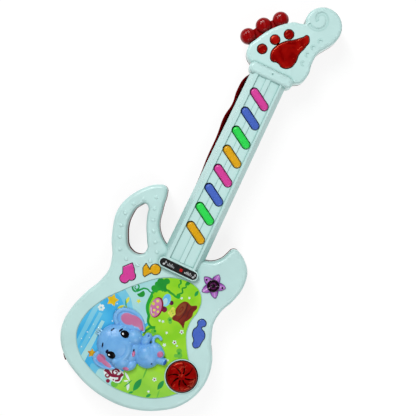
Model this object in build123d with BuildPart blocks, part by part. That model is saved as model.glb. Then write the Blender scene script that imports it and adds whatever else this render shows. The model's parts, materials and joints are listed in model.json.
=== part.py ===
from build123d import *
import math
import os

# Toy electric guitar: a hollow two-shell body with eight keys on the neck, tune buttons,
# a big round drum button, a printed scene with a raised baby elephant, and a battery bay.
# Millimetres. The guitar lies on its back: +Y runs up the neck, +Z out of the front.
# The origin is on the flat back face, on the neck's centre line, behind the label plate.

# ---------------------------------------------------------------- driving dimensions
KEY_PITCH = 20.0        # from one neck key to the next
KEY_COUNT = 8
WALL = 2.2              # shell wall
PART_Z = 18.0           # the plane where the front and back shells meet
BODY_TOP = 36.0         # front face of the body
NECK_TOP = 40.0         # rims beside the fingerboard
NECK_SHOULDER = 32.0    # where the neck's upright sides begin to slope in
BOARD_TOP = 38.6        # fingerboard between the rims
HEAD_TOP = 38.0         # front face of the headstock
NUT_TOP = 41.8          # the bar between the neck and the head
NECK_BACK = 7.0         # back of the neck grip
HEAD_BACK = 12.0        # back of the headstock
BODY_EDGE = 4.0         # rounding of the body's front edge
HOLE_EDGE = 3.0         # rounding round the finger hole
HEAD_EDGE = 3.0
NUT_EDGE = 3.4
BACK_EDGE = 4.0
KEY_EDGE = 1.9
NOTE_TOP = 37.6         # top of the three note-shaped buttons
NOTE_EDGE = 0.8
GAP = 0.4               # from a button's nominal outline out to its hole
NOTE_INSET = 0.35       # and in to the cap, for a note button
DRUM_INSET = 0.5        # the same for the drum
PAW_GAP = 0.3           # half the groove round the paw lens
TRAVEL = 1.5            # push of a key or button
FLANGE = 1.2            # width of the flange that keeps a button in its hole
FLANGE_T = 1.5
SLACK = 0.05            # play between a flange and the shell above it
BOARD_T = 1.6           # printed circuit board

# ---------------------------------------------------------------- outlines, as points on smooth curves
BODY_OUTLINE = [
    (0, 13.1), (-20.3, 15), (-31.7, 24.8), (-38.4, 46.9), (-40.5, 59.4), (-42.3, 63.8), (-46.2, 65.5),
    (-50.6, 64), (-66.3, 50.2), (-76, 28), (-70.8, 0.7), (-61.4, -19.1), (-59.4, -29),
    (-62, -42), (-69.7, -58.6), (-75.9, -78.4), (-77.2, -93.2), (-73.3, -108.1), (-61.4, -122.9),
    (-45, -132.8), (-16.4, -141.7),
    (15.4, -141.2), (38.6, -132.8), (58.3, -117.9), (68.7, -98.2), (70.6, -83.3), (68, -68.5),
    (58, -48.7), (53.2, -32), (54.5, -21.2), (61.1, -4.8), (63.8, 10.6), (60.8, 25), (52.8, 34.2),
    (46.9, 37.8), (42.8, 39.2), (38.8, 37.5), (36.9, 33.4), (34.4, 27.2), (27, 19.4), (18.8, 16.6),
]
HORN_HOLE = [
    (-53.6, 41.8), (-50.2, 39.2), (-48.8, 34), (-45, 23.5), (-38.4, 11), (-34.7, 3.4), (-36.8, -3),
    (-43, -5.4), (-49.6, -3.8), (-58.4, 8), (-62.3, 23.3), (-59.6, 36.8),
]
HEAD_OUTLINE = [
    (0, 203), (-22.3, 206), (-29, 211.5), (-30.7, 218.7), (-26.7, 228.6), (-17.8, 243.4), (-7, 254.2),
    (-1, 258.4), (5, 259.8), (8.8, 261.8), (7.6, 266), (8.8, 274.4), (13.8, 280.6), (24.6, 284.5),
    (34.6, 281.9), (42.4, 272.7), (43.4, 262.4), (40.8, 255.4), (36, 248), (32, 241.2), (31, 231),
    (32.4, 218.4), (30, 210),
    (23, 205),
]
GRIP_EDGE = [
    (-16, 206), (-18.6, 198.5), (-21.8, 192), (-23, 178.6), (-21.5, 165), (-23.3, 151), (-21.6, 129.5),
    (-21.2, 108), (-19.9, 90), (-19.3, 60), (-19.6, 8),
]
SCENE_OUTLINE = [
    (5.9, -8.9), (16.6, -7.9), (27.5, -11.4), (33, -18.8), (34.3, -28), (32, -41.8), (33, -51.6),
    (38, -62.5), (47, -76), (60, -91), (47, -111), (31.8, -121.7), (10, -127.8), (-11.9, -128.3),
    (-33.9, -122.3), (-52.4, -110.7), (-60.5, -97.5), (-60.1, -76.8), (-51.3, -58.2),
    (-37.1, -40.5), (-23.6, -26.7), (-9, -15),
]
PAW_PAD = [
    (16, 252), (19.4, 248.5), (18.6, 240), (16.3, 232.5), (16.6, 224), (13.8, 216.6), (7, 213.8),
    (1.2, 216.1), (-4.5, 215.4), (-8.8, 222), (-6.8, 230.5), (-1.3, 237.6), (6.5, 243.2), (12, 248.2),
]
LONG_NOTE = [
    (42.8, -33.8), (47, -37.4), (44.6, -42.2), (48.2, -44.2), (51, -48.6), (50.4, -54), (49.4, -60),
    (46.2, -62), (43.2, -59.6), (42.6, -55.8), (39.2, -51.6), (38.2, -46.6), (40, -42), (38.6, -37.4),
]
STUD_R = 2.1             # the studs round the finger hole, as seen from the front
STUD_RISE = 0.9
PAW_TOES = [(-17.7, 221.9), (-10.4, 235), (-0.6, 245.2)]
TOE_R = 4.9
STUDS = [
    (-47.9, 51.6), (-58.2, 44.9), (-64.8, 36.9), (-68, 25.5), (-66.6, 13.4), (-62.9, 3), (-57.7, -7.6),
    (-48.5, -13.4), (-36.2, -14.2), (-27, -5.5), (-25, 5), (-30.5, 12.8), (-36, 21.5), (-41.2, 30.8),
    (-44.6, 41.2),
]

# ---------------------------------------------------------------- places of the main features
KEY_X = 0.3
KEY_Y0 = 37.4                       # the key nearest the body
KEY_TILT = -31.0
KEY_REACH = 16.7                    # between the centres of a key's two round ends
KEY_R = 3.6
KEY_SLOT_R = 4.5
KEY_OFFSET = 0.45                   # a key sits this far along from the middle of its slot
KEY_TOP = 40.6
BOARD_END = 200.0                   # the fingerboard runs in under the nut
STRIP_X = 0.4
STRIP_WIDTH = 4.4
NUT_AT = (0.6, 203.2)
NUT_SIZE = (45.0, 11.0)
PEGS = [(-35.2, 229.2), (-26.2, 244.6), (-13.9, 256.8)]
PEG_R = 7.8
PEG_Z = 23.5
PEG_TALL = 14.0
DRUM_AT = (47.2, -91.6)
DRUM_R = 15.3
DRUM_COLLAR = 1.2
FLOWER_AT = (37.2, -1.1)
FLOWER_TIPS = 5
FLOWER_TURN = 88
PIN_HOLES = [(29.0, 1.4), (45.9, 0.9)]
PETAL = (-2.6, 4.8, 12.2, 3.9)    # start, middle and tip along the petal, half width
PETAL_PLACES = [
    Location((*FLOWER_AT, 0), (0, 0, FLOWER_TURN + 360 / FLOWER_TIPS * k)) for k in range(FLOWER_TIPS)
]
LABEL_AT = (0.4, -0.5)
LABEL_SIZE = (38.0, 7.6)
LABEL_TOP = 40.3
NUT_DIMPLE = (1.6, 204.0)
SPEAKER_AT = (-31.0, -92.0)
SPEAKER_R = 25.0
BAY_AT = (22.0, -84.0)              # battery bay centre
BAY_SIZE = (46.0, 58.0)
BAY_TOP = 17.6
DOOR_SIZE = (46.0, 72.0)
DOOR_SCREW_Y = 32.6                 # door screws, up and down from the bay's centre
DOOR_SCREWS = [(BAY_AT[0], BAY_AT[1] + DOOR_SCREW_Y), (BAY_AT[0], BAY_AT[1] - DOOR_SCREW_Y)]
CELL_R = 7.1
CELL_LEN = 49.0
CELL_PITCH = 14.8
CELL_Z = 9.9
SWITCH_AT = (-28.0, -46.0)
SWITCH_THROW = 4.0
STRAP_AT = (-60.4, -124.4, 10)
STRAP_ANGLE = math.radians(222)
MAIN_BOARD_Z = 22.4                 # underside of the main board
NECK_BOARD_Z = 27.8                 # underside of the neck board
HEAD_BOARD_Z = 24.0                 # underside of the small lamp board in the head
BODY_SCREWS = [
    (-69.2, 22), (-62.5, -78), (-44, -121), (58, -110), (54, 19), (46, -23), (-54, -41), (-10, -127),
]
NECK_SCREWS = [(0, 192.5), (27, 266), (24.5, 221.5), (-16, 210.5)]
BODY_SEAT = 8.0                     # where a screw head sits in the body's back
NECK_SEAT = 14.5                    # and in the back of the neck and head
SCREW_TIP = 28.0
CURLS = [(29, 252, -50), (25.6, 243.8, -30), (23.4, 235.4, -10), (23.3, 226.2, 0)]

# ---------------------------------------------------------------- helpers
def smooth_chain(points, closed=True):
    """Draw arcs through the points so that each arc leaves in the direction the last one came in."""
    nodes = [Vector(*p) for p in points]
    count = len(nodes)
    headings = []
    for i, here in enumerate(nodes):
        before = nodes[i - 1] if closed or i > 0 else None
        after = nodes[(i + 1) % count] if closed or i < count - 1 else None
        heading = Vector(0, 0)
        if before is not None:
            heading += (here - before) / (here - before).length ** 2
        if after is not None:
            heading += (after - here) / (after - here).length ** 2
        headings.append(heading.normalized())
    for i in range(count if closed else count - 1):
        j = (i + 1) % count
        biarc(nodes[i], headings[i], nodes[j], headings[j])


def biarc(start, start_dir, end, end_dir):
    """Join two points and headings with two arcs that meet smoothly."""
    chord = end - start
    both = start_dir + end_dir
    turn = 2 * (1 - start_dir.dot(end_dir))
    if turn < 1e-6:
        reach = chord.dot(chord) / (2 * chord.dot(both))
    else:
        reach = (math.sqrt(chord.dot(both) ** 2 + turn * chord.dot(chord)) - chord.dot(both)) / turn
    corner_1 = start + start_dir * reach
    corner_2 = end - end_dir * reach
    middle = (corner_1 + corner_2) / 2
    arc_or_line(start, middle, start_dir)
    arc_or_line(middle, end, (corner_2 - corner_1).normalized())


def arc_or_line(start, end, heading):
    """An arc that leaves along the heading, or a line where it would be nearly straight."""
    if abs(heading.cross((end - start).normalized()).Z) < 1e-4:
        Line(start, end)
    else:
        TangentArc(start, end, tangent=heading)


def smooth_face(points, mode=Mode.ADD):
    """A sketch face inside a closed smooth chain."""
    with BuildSketch(mode=Mode.PRIVATE) as face:
        with BuildLine():
            smooth_chain(points)
        make_face()
    add(face.sketch, mode=mode)


def grown(points, amount, mode=Mode.ADD):
    """The face inside a smooth chain, made larger, or smaller if the amount is negative."""
    with BuildSketch(mode=Mode.PRIVATE) as face:
        with BuildLine():
            smooth_chain(points)
        make_face()
        offset(amount=amount)
    add(face.sketch, mode=mode)


def edges_at(part, z, tolerance=0.01):
    """Every edge of a part that lies flat at one height."""
    return part.edges().filter_by(lambda e: abs(e.bounding_box().min.Z - z) < tolerance
                                  and abs(e.bounding_box().max.Z - z) < tolerance)


def finish(builder, label):
    """Name a finished piece and write it."""
    builder.part.label = label
    export_step(builder.part, f"parts/{label}.step")


def prism(z_low, z_high, sketch_maker, mode=Mode.ADD):
    """Extrude whatever the maker draws from one height to another."""
    with BuildSketch(Plane.XY.offset(z_low)) as profile:
        sketch_maker()
    extrude(profile.sketch, amount=z_high - z_low, mode=mode)


def neck_section(half_width, rim_half):
    """The neck's cross-section in front of the parting plane: upright below, sloped to its rims."""
    Polyline((-half_width, PART_Z), (half_width, PART_Z), (half_width, NECK_SHOULDER),
             (rim_half, NECK_TOP), (-rim_half, NECK_TOP), (-half_width, NECK_SHOULDER),
             (-half_width, PART_Z))


def key_slot(index, extra=0.0):
    """The slanted slot of one key, larger by the extra amount."""
    with Locations(Location((KEY_X, KEY_Y0 + KEY_PITCH * index), KEY_TILT)):
        SlotCenterToCenter(KEY_REACH, 2 * (KEY_SLOT_R + extra))


def key_cap(index):
    """The part of a key that stands out of its slot."""
    with Locations(Location((KEY_X, KEY_Y0 + KEY_PITCH * index), KEY_TILT)):
        with Locations((KEY_OFFSET, 0)):
            SlotCenterToCenter(KEY_REACH, 2 * KEY_R)


def beamed_note(extra=0.0):
    """Two joined notes: a slanted beam with a round head at each foot."""
    with BuildLine() as edge:
        Polyline((-41.6, -14.2), (-48.2, -21.6), (-44, -31), (-34.3, -25.5), (-37.4, -18.6), close=True)
    make_face(edge.edges())
    with Locations((-37.3, -26)):
        Circle(4.3)
    with Locations((-42.1, -30.8)):
        Circle(4.6)
    offset(amount=extra)


def flagged_note(extra=0.0):
    """One note: a round head with a pointed flag beside it."""
    with Locations((-19.2, -10.5)):
        Circle(5.1)
    with BuildLine() as edge:
        Polyline((-29.6, -9), (-24, -12.6), (-21, -14.8), (-25.6, -21.4), (-27.6, -20.4), (-30.7, -14),
                 close=True)
    make_face(edge.edges())
    offset(amount=extra)


def long_note(extra=0.0):
    """A wavy note with a round head at the top and a round foot."""
    grown(LONG_NOTE, extra) if extra else smooth_face(LONG_NOTE)


def drum_disc(extra=0.0):
    with Locations(DRUM_AT):
        Circle(DRUM_R + extra)


def fingerboard():
    """The sunk face between the neck's rims, up to the nut."""
    with BuildLine() as rim:
        Polyline((-10.4, BOARD_END), (-11.6, 5.6), (12.8, 5.6), (12.2, BOARD_END), close=True)
    make_face(rim.edges())


def centre_strip():
    """The raised strip up the middle of the fingerboard."""
    with Locations((STRIP_X, (BOARD_END + 6) / 2)):
        Rectangle(STRIP_WIDTH, BOARD_END - 6)


def pill(at, length, width):
    with Locations(at):
        SlotOverall(length, width)


def plate(at, length, width):
    with Locations(at):
        Rectangle(length, width)


def discs(places, radius, mode=Mode.ADD):
    with Locations(*places):
        Circle(radius, mode=mode)


def petal(extra=0.0):
    """One leaf-shaped petal, pointing along X from the flower's centre."""
    start, middle, tip, half = PETAL
    with BuildLine() as leaf:
        ThreePointArc((start, 0), (middle, half + extra), (tip + extra, 0))
        ThreePointArc((start, 0), (middle, -half - extra), (tip + extra, 0))
    make_face(leaf.edges())


def petals(extra=0.0):
    with BuildSketch(mode=Mode.PRIVATE) as one:
        petal(extra)
    with Locations(*PETAL_PLACES):
        add(one.sketch)


def paw(extra=0.0):
    grown(PAW_PAD, extra) if extra else smooth_face(PAW_PAD)
    discs(PAW_TOES, TOE_R + extra)


def paw_carrier():
    """The plate behind the shell that joins the pad and the toes."""
    paw(1.2)
    with BuildLine() as edge:
        Polyline((-20, 220), (-13, 238), (-1, 248), (6, 243), (-6, 226), (-10, 218), close=True)
    make_face(edge.edges())


def body_hollow(posts_r):
    """The room inside the body, round the finger hole's wall and the screw posts."""
    grown(BODY_OUTLINE, -WALL)
    grown(HORN_HOLE, WALL, mode=Mode.SUBTRACT)
    discs(BODY_SCREWS, posts_r, mode=Mode.SUBTRACT)


def neck_hollow(posts_r):
    with Locations((0, 104)):
        Rectangle(27, 206)
    discs(NECK_SCREWS, posts_r, mode=Mode.SUBTRACT)


def head_hollow(posts_r):
    grown(HEAD_OUTLINE, -WALL)
    discs(NECK_SCREWS, posts_r, mode=Mode.SUBTRACT)


def scene(extra=0.0):
    """The printed scene, cut back round the drum button."""
    grown(SCENE_OUTLINE, extra) if extra else smooth_face(SCENE_OUTLINE)
    discs([DRUM_AT], DRUM_R + DRUM_COLLAR + 0.2 - extra, mode=Mode.SUBTRACT)


def curls():
    """Small C-shaped curls along the head's edge."""
    for x, y, turn in CURLS:
        with Locations(Location((x, y), turn)):
            SlotArc(Edge.make_circle(1.9, start_angle=100, end_angle=290), 0.8)


def speaker_ring():
    discs([SPEAKER_AT], SPEAKER_R + 2.0)
    discs([SPEAKER_AT], SPEAKER_R + 0.4, mode=Mode.SUBTRACT)


def grille():
    """Rings of round sound holes behind the speaker."""
    with Locations(SPEAKER_AT):
        Circle(1.3)
        for ring in (1, 2, 3, 4):
            with PolarLocations(4.8 * ring, 6 * ring):
                Circle(1.3)


def peg_web():
    """The strip that joins the three pegs beside the head."""
    with BuildLine() as edge:
        Polyline((-33.5, 222), (-37, 231), (-28, 246), (-15, 258.4), (-8, 256), (-16, 240), (-27, 224),
                 close=True)
    make_face(edge.edges())


def peg_tongue(extra=0.0):
    """The flat tongue that holds the tuning pegs between the two shells."""
    with Locations(Location((-19.2, 239.6), 54)):
        Rectangle(26 + 2 * extra, 15 + 2 * extra)


os.makedirs("parts", exist_ok=True)

# ================================================================ front shell
UNDER_BODY = BODY_TOP - WALL
UNDER_BOARD = BOARD_TOP - WALL
UNDER_HEAD = HEAD_TOP - WALL
NECK_END = 202.0

with BuildPart() as body_block:
    prism(PART_Z, BODY_TOP, lambda: smooth_face(BODY_OUTLINE))
    fillet(edges_at(body_block, BODY_TOP), BODY_EDGE)
    prism(PART_Z, BODY_TOP, lambda: smooth_face(HORN_HOLE), mode=Mode.SUBTRACT)
    fillet(body_block.edges(Select.LAST).filter_by(lambda e: e.bounding_box().min.Z > BODY_TOP - 0.01),
           HOLE_EDGE)

with BuildPart() as head_block:
    prism(PART_Z, HEAD_TOP, lambda: smooth_face(HEAD_OUTLINE))
    fillet(edges_at(head_block, HEAD_TOP), HEAD_EDGE)

with BuildPart() as neck_block:
    with BuildSketch(Plane.XZ.offset(-NECK_END)):
        with BuildLine():
            neck_section(18.2, 14.0)
        make_face()
    with BuildSketch(Plane.XZ.offset(-2.0)):
        with BuildLine():
            neck_section(19.8, 15.0)
        make_face()
    loft()
    prism(BOARD_TOP, NECK_TOP, fingerboard, mode=Mode.SUBTRACT)
    prism(BOARD_TOP - 0.5, BOARD_TOP + 0.9, centre_strip)

with BuildPart() as nut_block:
    with BuildSketch(Plane.XY.offset(PART_Z)):
        with Locations(NUT_AT):
            SlotOverall(*NUT_SIZE)
    extrude(amount=NUT_TOP - PART_Z)
    fillet(edges_at(nut_block, NUT_TOP), NUT_EDGE)

SCROLL_STEPS = [(0.25, 3.8), (0.5, 2.8), (0.75, 1.6)]       # depth and width of the groove
STUD_BALL = (STUD_R ** 2 + STUD_RISE ** 2) / (2 * STUD_RISE)
with BuildPart() as front_shell:
    add(body_block.part)
    add(head_block.part)
    add(neck_block.part)
    add(nut_block.part)
    prism(BODY_TOP - 1, LABEL_TOP, lambda: pill(LABEL_AT, LABEL_SIZE[0] + 2.8, LABEL_SIZE[1] + 2.8))
    fillet(edges_at(front_shell, LABEL_TOP), 0.7)
    prism(BODY_TOP - 1, BODY_TOP + 0.6, lambda: discs([DRUM_AT], DRUM_R + DRUM_COLLAR))
    # the room inside
    prism(PART_Z, UNDER_BODY, lambda: body_hollow(4.0), mode=Mode.SUBTRACT)
    prism(PART_Z, UNDER_BOARD, lambda: neck_hollow(4.0), mode=Mode.SUBTRACT)
    prism(PART_Z, UNDER_HEAD, lambda: head_hollow(4.0), mode=Mode.SUBTRACT)
    # recesses and openings in the face
    prism(LABEL_TOP - 1, LABEL_TOP, lambda: pill(LABEL_AT, LABEL_SIZE[0] + 0.4, LABEL_SIZE[1] + 0.4),
          mode=Mode.SUBTRACT)
    prism(BODY_TOP - 0.6, BODY_TOP, lambda: scene(0.8), mode=Mode.SUBTRACT)
    for i in range(KEY_COUNT):
        prism(UNDER_BOARD - 1, NECK_TOP, lambda: key_slot(i), mode=Mode.SUBTRACT)
    for note in (beamed_note, flagged_note, long_note, drum_disc):
        prism(UNDER_BODY - 1, BODY_TOP + 1, lambda: note(GAP), mode=Mode.SUBTRACT)
    prism(UNDER_HEAD - 1, HEAD_TOP, lambda: paw(PAW_GAP), mode=Mode.SUBTRACT)
    prism(BODY_TOP - 0.8, BODY_TOP, lambda: petals(0.15), mode=Mode.SUBTRACT)
    prism(UNDER_BODY - 1, BODY_TOP, lambda: discs([FLOWER_AT], 6.2), mode=Mode.SUBTRACT)
    prism(UNDER_BODY - 1, BODY_TOP, lambda: discs(PIN_HOLES, 1.0), mode=Mode.SUBTRACT)
    prism(PART_Z, SCREW_TIP + 1, lambda: discs(BODY_SCREWS + NECK_SCREWS, 1.35), mode=Mode.SUBTRACT)
    prism(PART_Z, PART_Z + 4.1, lambda: peg_tongue(0.1), mode=Mode.SUBTRACT)
    # raised studs round the finger hole
    with BuildPart(mode=Mode.PRIVATE) as stud_row:
        with Locations(*[(x, y, BODY_TOP + STUD_RISE - STUD_BALL) for x, y in STUDS]):
            Sphere(STUD_BALL)
        split(bisect_by=Plane.XY.offset(BODY_TOP - 0.5), keep=Keep.TOP)
    add(stud_row.part)
    # a spiral groove in the scroll and small raised curls down the head's edge
    for depth, width in SCROLL_STEPS:
        with BuildSketch(Plane.XY.offset(HEAD_TOP - depth)):
            with BuildLine():
                ThreePointArc((12, 262.8), (15.4, 260.8), (19.4, 260.3))
                ThreePointArc((19.4, 260.3), (26.8, 266.2), (24.4, 275.4))
                ThreePointArc((24.4, 275.4), (18, 275.8), (18.6, 268.4))
            trace(line_width=width)
        extrude(amount=1, mode=Mode.SUBTRACT)
    # a small dimple in the nut
    prism(NUT_TOP - 0.8, NUT_TOP, lambda: discs([NUT_DIMPLE], 0.9), mode=Mode.SUBTRACT)
    prism(HEAD_TOP - 0.5, HEAD_TOP + 0.6, curls)
finish(front_shell, "front_shell")

# ================================================================ back shell
with BuildPart() as back_pan:
    prism(0, PART_Z, lambda: smooth_face(BODY_OUTLINE))
    fillet(edges_at(back_pan, 0), BACK_EDGE)
    prism(0, PART_Z, lambda: smooth_face(HORN_HOLE), mode=Mode.SUBTRACT)
    fillet(back_pan.edges(Select.LAST).filter_by(lambda e: e.bounding_box().max.Z < 0.01), HOLE_EDGE)

with BuildPart() as head_pan:
    prism(HEAD_BACK, PART_Z, lambda: smooth_face(HEAD_OUTLINE))
    fillet(edges_at(head_pan, HEAD_BACK), 2.5)

with BuildPart() as grip:
    with BuildSketch(Plane.XY.offset(NECK_BACK)):
        with BuildLine():
            smooth_chain(GRIP_EDGE, closed=False)
            Polyline(GRIP_EDGE[-1], (19.6, 8), (18.2, 206), GRIP_EDGE[0])
        make_face()
    extrude(amount=PART_Z - NECK_BACK)
    fillet(edges_at(grip, NECK_BACK).filter_by(lambda e: 10 < e.center().Y < 205.5), 3.5)
    # the finger side is rounded over at the top as well, which leaves a groove beside the front shell
    finger_side = edges_at(grip, PART_Z).filter_by(lambda e: e.center().X < -16)
    fillet(finger_side.filter_by(lambda e: 20 < e.center().Y < 205.5), 2.2)

with BuildPart() as back_shell:
    add(back_pan.part)
    add(head_pan.part)
    add(grip.part)
    prism(WALL, PART_Z, lambda: body_hollow(5.0), mode=Mode.SUBTRACT)
    prism(NECK_BACK + WALL, PART_Z, lambda: neck_hollow(5.0), mode=Mode.SUBTRACT)
    prism(HEAD_BACK + WALL, PART_Z, lambda: head_hollow(5.0), mode=Mode.SUBTRACT)
    # screw wells
    prism(0, BODY_SEAT, lambda: discs(BODY_SCREWS, 3.3), mode=Mode.SUBTRACT)
    prism(0, NECK_SEAT, lambda: discs(NECK_SCREWS, 3.3), mode=Mode.SUBTRACT)
    prism(0, PART_Z, lambda: discs(BODY_SCREWS + NECK_SCREWS, 1.7), mode=Mode.SUBTRACT)
    # the battery bay: a box open at the back, with a solid block at each end for the door screws
    prism(WALL - 1, BAY_TOP + 1.6, lambda: plate(BAY_AT, BAY_SIZE[0] + 3.2, BAY_SIZE[1] + 3.2))
    prism(WALL - 1, 9, lambda: plate(BAY_AT, BAY_SIZE[0] + 3.2, DOOR_SIZE[1] + 3.2))
    prism(0, BAY_TOP, lambda: plate(BAY_AT, *BAY_SIZE), mode=Mode.SUBTRACT)
    prism(0, WALL, lambda: plate(BAY_AT, *DOOR_SIZE), mode=Mode.SUBTRACT)
    prism(0, 8, lambda: discs(DOOR_SCREWS, 1.0), mode=Mode.SUBTRACT)
    # speaker ring and grille
    prism(WALL - 1, 7, speaker_ring)
    prism(0, WALL, grille, mode=Mode.SUBTRACT)
    # power switch: a shallow dish with a slot in it
    prism(0, 1.0, lambda: pill(SWITCH_AT, 20, 9), mode=Mode.SUBTRACT)
    prism(0, WALL, lambda: plate(SWITCH_AT, 10.6, 4.4), mode=Mode.SUBTRACT)
    # strap lug on the lower left edge
    with BuildPart(Plane(STRAP_AT, z_dir=(math.cos(STRAP_ANGLE), math.sin(STRAP_ANGLE), 0)),
                   mode=Mode.PRIVATE) as lug:
        Cylinder(2.4, 5)
        with Locations((0, 0, 3)):
            Cylinder(3.4, 1.4)
    add(lug.part)
finish(back_shell, "back_shell")

# ================================================================ battery bay: door, cells, contacts
with BuildPart() as battery_door:
    prism(0.2, WALL - 0.1, lambda: plate(BAY_AT, DOOR_SIZE[0] - 0.6, DOOR_SIZE[1] - 0.6))
    fillet(battery_door.edges().filter_by(Axis.Z), 1.2)
    for k in range(7):                      # grip lines for the thumb
        line_y = BAY_AT[1] - 12 - 2.4 * k
        prism(0, 0.5, lambda: plate((BAY_AT[0], line_y), 18 - 2 * k, 1.0), mode=Mode.SUBTRACT)
    prism(0, 1.0, lambda: discs(DOOR_SCREWS, 2.3), mode=Mode.SUBTRACT)
    prism(0, WALL, lambda: discs(DOOR_SCREWS, 1.05), mode=Mode.SUBTRACT)
finish(battery_door, "battery_door")


def screw(places, head_r, head_z, head_t, shank_r, tip_z):
    """Pan-head screws that go in from the back, with a cross in each head."""
    prism(head_z, head_z + head_t, lambda: discs(places, head_r))
    prism(head_z + head_t, tip_z, lambda: discs(places, shank_r))
    for x, y in places:
        prism(head_z, head_z + 0.6 * head_t, lambda: plate((x, y), 1.4 * head_r, 0.5), mode=Mode.SUBTRACT)
        prism(head_z, head_z + 0.6 * head_t, lambda: plate((x, y), 0.5, 1.4 * head_r), mode=Mode.SUBTRACT)


with BuildPart() as door_screws:
    screw(DOOR_SCREWS, 2.0, 0.25, 0.75, 0.95, 7.0)
finish(door_screws, "door_screws")

with BuildPart() as case_screws:
    screw(BODY_SCREWS, 2.9, BODY_SEAT - 1.6, 1.6, 1.3, SCREW_TIP)
    screw(NECK_SCREWS, 2.9, NECK_SEAT - 1.6, 1.6, 1.3, SCREW_TIP)
finish(case_screws, "case_screws")

CELL_XS = [BAY_AT[0] + CELL_PITCH * k for k in (-1, 0, 1)]
for k, cell_x in enumerate(CELL_XS):
    facing = -1 if k == 1 else 1            # neighbours lie head to tail
    start = BAY_AT[1] - facing * CELL_LEN / 2
    with BuildPart() as cell:
        with BuildSketch(Plane((cell_x, start, CELL_Z), z_dir=(0, facing, 0))):
            Circle(CELL_R)
        extrude(amount=CELL_LEN)
        fillet(cell.edges(), 0.6)
        with BuildSketch(Plane((cell_x, start + facing * CELL_LEN, CELL_Z), z_dir=(0, facing, 0))):
            Circle(2.6)
        extrude(amount=1.4)
    finish(cell, f"battery_cell_{k + 1}")

with BuildPart() as battery_contacts:
    for side in (-1, 1):
        wall_y = BAY_AT[1] + side * (BAY_SIZE[1] / 2 - 0.2)
        for cell_x in CELL_XS:
            with Locations((cell_x, wall_y, CELL_Z)):
                Box(9, 0.4, 10)
finish(battery_contacts, "battery_contacts")

SPRING_TURNS = 3
SPRING_R = 3.0
SPRING_WIRE = 0.35
SPRING_LEN = 3.2
with BuildPart() as battery_springs:
    for k, cell_x in enumerate(CELL_XS):
        facing = -1 if k == 1 else 1
        foot = Plane((cell_x, BAY_AT[1] - facing * (BAY_SIZE[1] / 2 - 0.4 - SPRING_WIRE), CELL_Z),
                     x_dir=(1, 0, 0), z_dir=(0, facing, 0))
        coil = Helix(pitch=SPRING_LEN / SPRING_TURNS, height=SPRING_LEN, radius=SPRING_R, mode=Mode.PRIVATE)
        coil = foot.from_local_coords(coil)
        with BuildSketch(Plane(origin=coil @ 0, z_dir=coil % 0)):
            Circle(SPRING_WIRE)
        sweep(path=coil, is_frenet=True)
finish(battery_springs, "battery_springs")

# ================================================================ speaker
with BuildPart(Plane((SPEAKER_AT[0], SPEAKER_AT[1], 0))) as speaker_frame:
    with BuildSketch(Plane((SPEAKER_AT[0], SPEAKER_AT[1], 0), x_dir=(1, 0, 0), z_dir=(0, -1, 0))):
        with BuildLine():
            Polyline((SPEAKER_R - 3.2, 2.3), (SPEAKER_R, 2.3), (SPEAKER_R, 3.9), (SPEAKER_R - 1.6, 3.9),
                     (12.5, 12.6), (12.5, 14), (7, 14), (7, 13), (11.4, 13), (SPEAKER_R - 3.2, 3.9),
                     close=True)
        make_face()
    revolve(axis=Axis((SPEAKER_AT[0], SPEAKER_AT[1], 0), (0, 0, 1)))
finish(speaker_frame, "speaker_frame")

with BuildPart() as speaker_cone:
    with BuildSketch(Plane((SPEAKER_AT[0], SPEAKER_AT[1], 0), x_dir=(1, 0, 0), z_dir=(0, -1, 0))):
        with BuildLine():
            Polyline((0, 6.4), (3.2, 7.2), (5, 9), (SPEAKER_R - 6, 3.4), (SPEAKER_R - 3.4, 2.9),
                     (SPEAKER_R - 3.4, 3.3), (SPEAKER_R - 6, 3.9), (6, 11.8), (5.2, 11.8), (4.6, 9.4),
                     (3, 7.7), (0, 6.9), close=True)
        make_face()
    revolve(axis=Axis((SPEAKER_AT[0], SPEAKER_AT[1], 0), (0, 0, 1)))
finish(speaker_cone, "speaker_cone")

with BuildPart() as speaker_magnet:
    prism(14, 20, lambda: discs([SPEAKER_AT], 11.5))
    fillet(speaker_magnet.edges(), 0.6)
finish(speaker_magnet, "speaker_magnet")

# ================================================================ boards
FLANGE_TOP = UNDER_BODY - SLACK
BUTTON_DOMES = [(-40.4, -25), (-21.5, -12), (43.2, -40.4), (44.4, -53), DRUM_AT]


def main_board_face():
    """The board fills the waist and reaches down to the drum button."""
    with BuildLine() as edge:
        Polyline((-50, -12), (-31, -12), (-27, -6), (28, -6), (50.4, -30), (50.4, -52), (57, -72),
                 (57, -99.4), (30, -99.4), (30, -60), (-4, -60), (-44, -56), (-50, -36), close=True)
    make_face(edge.edges())
    discs(BODY_SCREWS, 4.6, mode=Mode.SUBTRACT)


with BuildPart() as main_board:
    prism(MAIN_BOARD_Z, MAIN_BOARD_Z + BOARD_T, main_board_face)
    prism(MAIN_BOARD_Z, MAIN_BOARD_Z + BOARD_T, lambda: discs([(48, -64)], 1.6), mode=Mode.SUBTRACT)
finish(main_board, "main_board")

BOARD_FACE = MAIN_BOARD_Z + BOARD_T
with BuildPart() as sound_chip:
    with Locations((0, -32, BOARD_FACE + 0.9)):
        Cylinder(7, 1.8)
    fillet(sound_chip.edges().sort_by(Axis.Z)[-1], 1.4)
finish(sound_chip, "sound_chip")

with BuildPart() as board_parts:            # capacitors, resistors and the connector block
    with Locations((16, -20, BOARD_FACE + 3.5), (18, -44, BOARD_FACE + 3.5)):
        Cylinder(3.2, 7)
    with Locations((-14, -46, BOARD_FACE + 1.5)):
        Box(10, 5, 3)
    with GridLocations(5, 6, 3, 2):
        with Locations((-24, -34, BOARD_FACE + 0.4)):
            Box(3.2, 1.6, 0.8)
finish(board_parts, "board_parts")

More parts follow.
